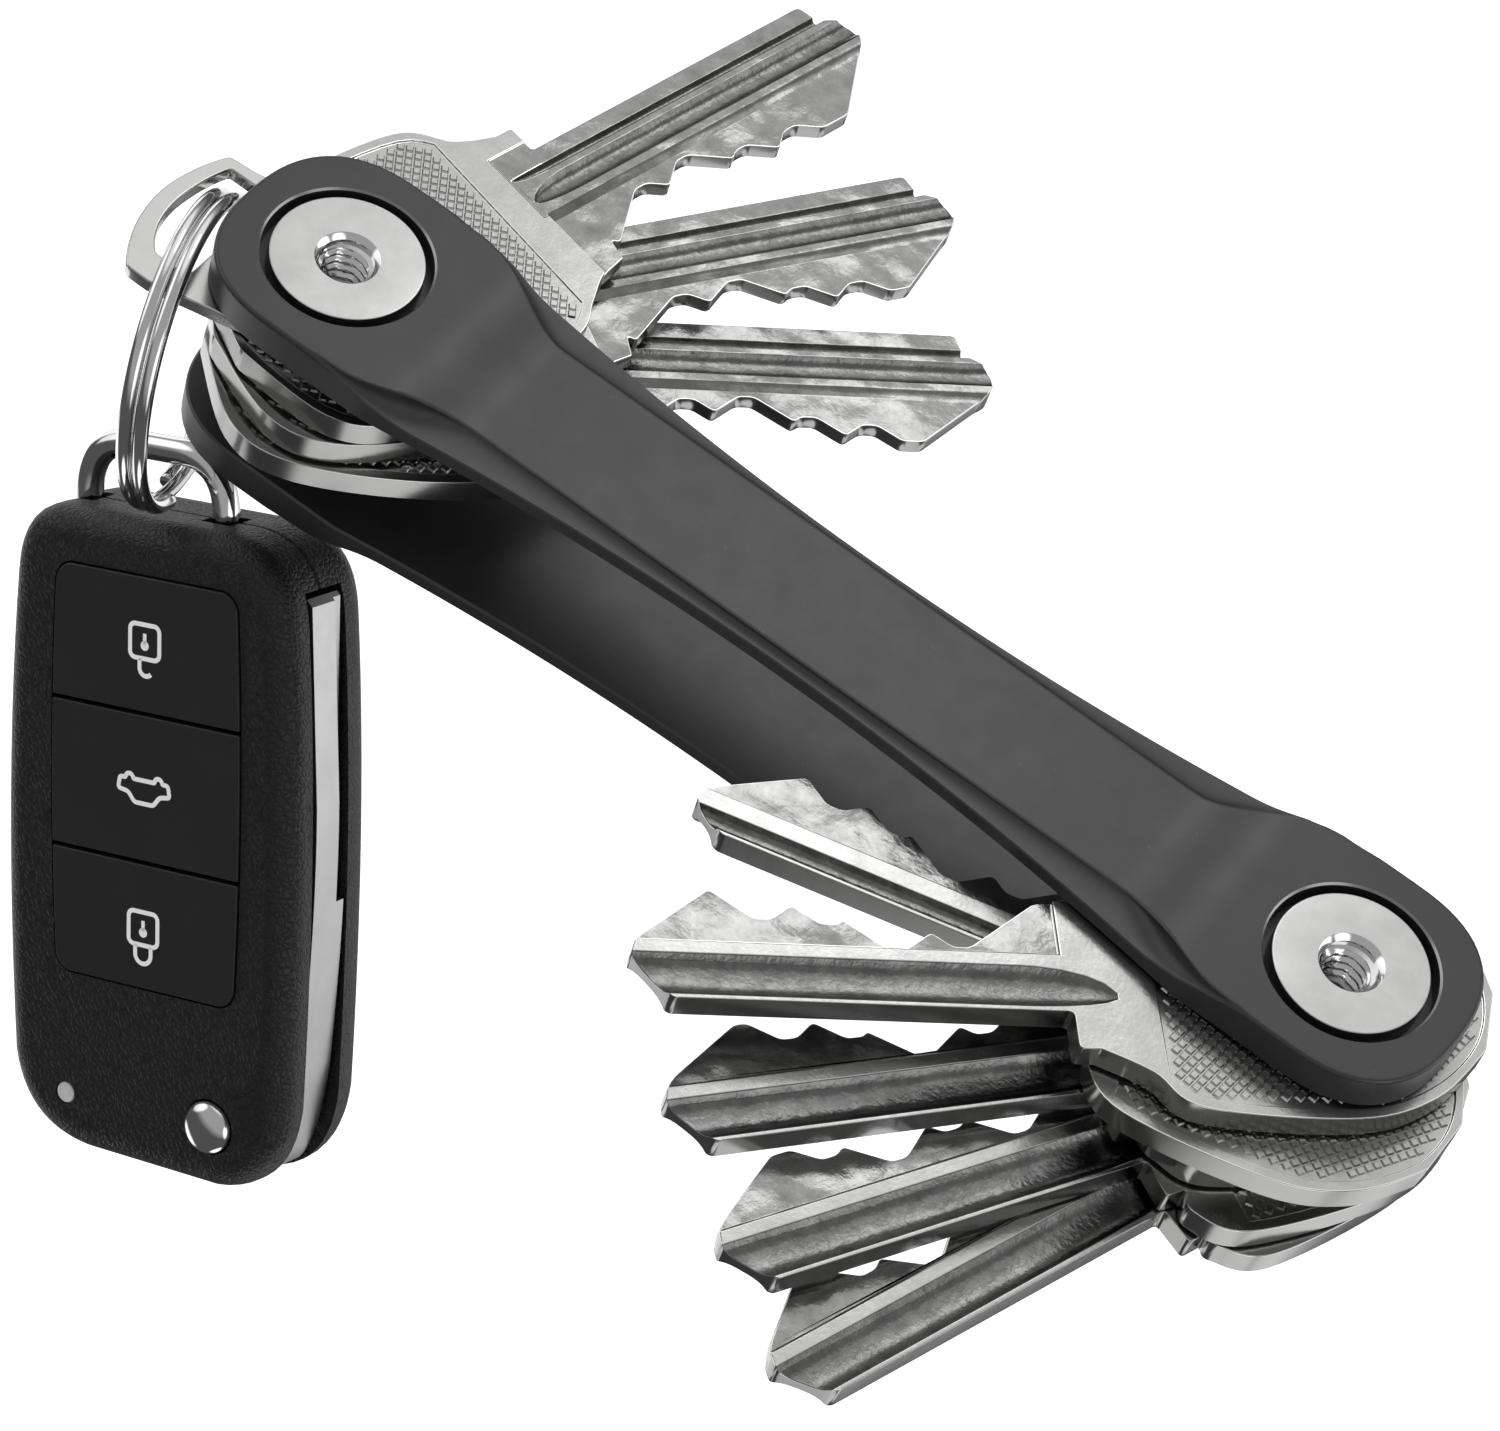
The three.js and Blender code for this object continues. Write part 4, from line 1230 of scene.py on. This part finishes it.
def make_fob():
    at = fob_matrix()
    place(build_front_shell(), "fob_front_shell", "remote", at)
    place(build_rear_shell(), "fob_rear_shell", "remote", at)
    for name, y0, y1, icon in (
        ("unlock", PANEL["divider"], PANEL["top"], padlock_icon(10.9, True)),
        ("boot", -PANEL["divider"], PANEL["divider"], car_icon(0.0)),
        ("lock", PANEL["bottom"], -PANEL["divider"], padlock_icon(-10.5, False)),
    ):
        button = build_button(y0, y1)
        for part in icon:
            join_mesh(button, part, 1)
        place(button, f"fob_button_{name}", f"button_{name}", at)
    lens = lathe([(0, -1.6), (0.8, -1.6), (0.8, -0.1), (0.7, 0.0), (0, 0.03)], 32, LED)
    place(solid(lens, "lens"), "fob_led_window", "remote", at)
    place(build_release_button(), "fob_release_button", "release_button", at)
    place(build_blade(), "fob_blade", "blade", at)
    place(build_bail(), "fob_bail", "remote", at, 60)
    place(build_fob_screw(), "fob_screw", "remote", at)


def dress_inner_nodes():
    """The pieces inside the remote keep their CAD shapes and get their own materials."""
    for node, look, slot in (
        ("fob_blade_hub", "nickel", "nickel"),
        ("fob_hub_spring", "blade", "blade_steel"),
        ("fob_circuit_board", "board", "board"),
        ("fob_battery", "chrome", "bright_steel"),
    ):
        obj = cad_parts[node]
        obj.data.materials.clear()
        obj.data.materials.append(LOOK[look])


# ---- Stage ----

BACKDROP = 0.97
FLOOR_ROOM = 0.045   # the object hangs clear of the floor, with room for the flipped blade
FLOOR_REACH = 3.0
FRONT_MIRRORS = (-0.19, 0.576, 0.795)   # what the plates' front faces show the camera

# Soft boxes in the sky: direction, cosine at the rim, cosine at the core, strength.
SOFT_BOXES = [
    (FRONT_MIRRORS, 0.80, 0.93, 0.62),
    ((-0.95, -0.1, 0.3), 0.88, 0.95, 1.0),
    ((0.9, -0.3, 0.35), 0.90, 0.96, 1.1),
    ((0.67, 0.67, -0.33), 0.80, 0.93, 0.8),
    ((0.8, 0.57, 0.2), 0.90, 0.96, 1.2),
    ((-0.8, 0.55, -0.2), 0.90, 0.96, 1.2),
    ((-0.19, 0.8, -0.57), 0.93, 0.97, 1.0),
    ((0.44, -0.40, -0.8), 0.94, 0.975, 1.5),
    ((0.60, 0.13, -0.79), 0.955, 0.985, 1.4),
    ((-0.54, 0.3, -0.8), 0.92, 0.97, 1.3),
    ((-0.55, -0.3, -0.8), 0.945, 0.98, 1.3),
]


def make_camera():
    """The viewpoint was fitted to the plates, discs and layers in the photograph."""
    data = bpy.data.cameras.new("camera")
    data.lens = 125.65
    data.sensor_width = 36
    data.sensor_fit = "HORIZONTAL"
    data.clip_start = 0.01
    right, up, back = (0.8003, 0.5604, 0.2133), (-0.5683, 0.5954, 0.5680), (0.1913, -0.5758, 0.7949)
    turn = Matrix((right, up, back)).transposed().to_4x4()
    camera = bpy.data.objects.new("camera", data)
    camera.matrix_world = Matrix.Translation((0.06655, -0.20936, 0.28941)) @ turn
    bpy.context.scene.collection.objects.link(camera)
    bpy.context.scene.camera = camera


def make_floor():
    r = FLOOR_REACH
    z = cad_bounds[0].z - FLOOR_ROOM
    bm = bmesh.new()
    bm.faces.new([bm.verts.new(p) for p in ((-r, -r, z), (r, -r, z), (r, r, z), (-r, r, z))])
    material, sockets = principled("floor_pale", (0.9, 0.9, 0.9), 0.0, 0.9)
    sockets["Emission Color"].default_value = (1, 1, 1, 1)
    sockets["Emission Strength"].default_value = 0.72
    floor = to_object(bm, [material], "floor")
    floor.visible_glossy = False


def make_world():
    """Soft boxes over walls that brighten upwards. The camera itself sees an even backdrop."""
    world = bpy.data.worlds.new("studio")
    bpy.context.scene.world = world
    world.use_nodes = True
    tree = world.node_tree
    background = tree.nodes["Background"].inputs
    background["Color"].default_value = (1, 1, 1, 1)
    direction = tree.nodes.new("ShaderNodeTexCoord").outputs["Generated"]
    height = add_node(tree, "SeparateXYZ", {"Vector": direction}).outputs["Z"]
    total = ramp(tree, height, 0.1, 0.42, 0.05, 0.35)
    for towards, rim, core, strength in SOFT_BOXES:
        inputs = {0: direction, 1: Vector(towards).normalized()}
        cosine = add_node(tree, "VectorMath", inputs, operation="DOT_PRODUCT").outputs["Value"]
        glow = ramp(tree, cosine, 0.0, strength, rim, core, "SMOOTHSTEP")
        total = add_node(tree, "Math", {0: total, 1: glow}, operation="ADD").outputs["Value"]
    seen = tree.nodes.new("ShaderNodeLightPath").outputs["Is Camera Ray"]
    shown = add_node(tree, "Mix", {"Factor": seen, "A": total, "B": BACKDROP})
    tree.links.new(shown.outputs["Result"], background["Strength"])


def make_light():
    """A small soft light over the middle of the front plate."""
    data = bpy.data.lights.new("plate_light", "AREA")
    data.shape = "DISK"
    data.size = 0.08
    data.energy = 0.03
    light = bpy.data.objects.new("plate_light", data)
    towards = Vector(FRONT_MIRRORS)
    light.location = Vector((0, 0, FRONT_INNER * MM)) + towards * 0.22
    light.rotation_euler = towards.to_track_quat("Z", "Y").to_euler()
    bpy.context.scene.collection.objects.link(light)


make_camera()
make_light()
make_plates()
make_posts()
make_keys()
make_loop_and_ring()
make_fob()
dress_inner_nodes()
make_floor()
make_world()
bpy.context.scene.view_settings.view_transform = "Standard"
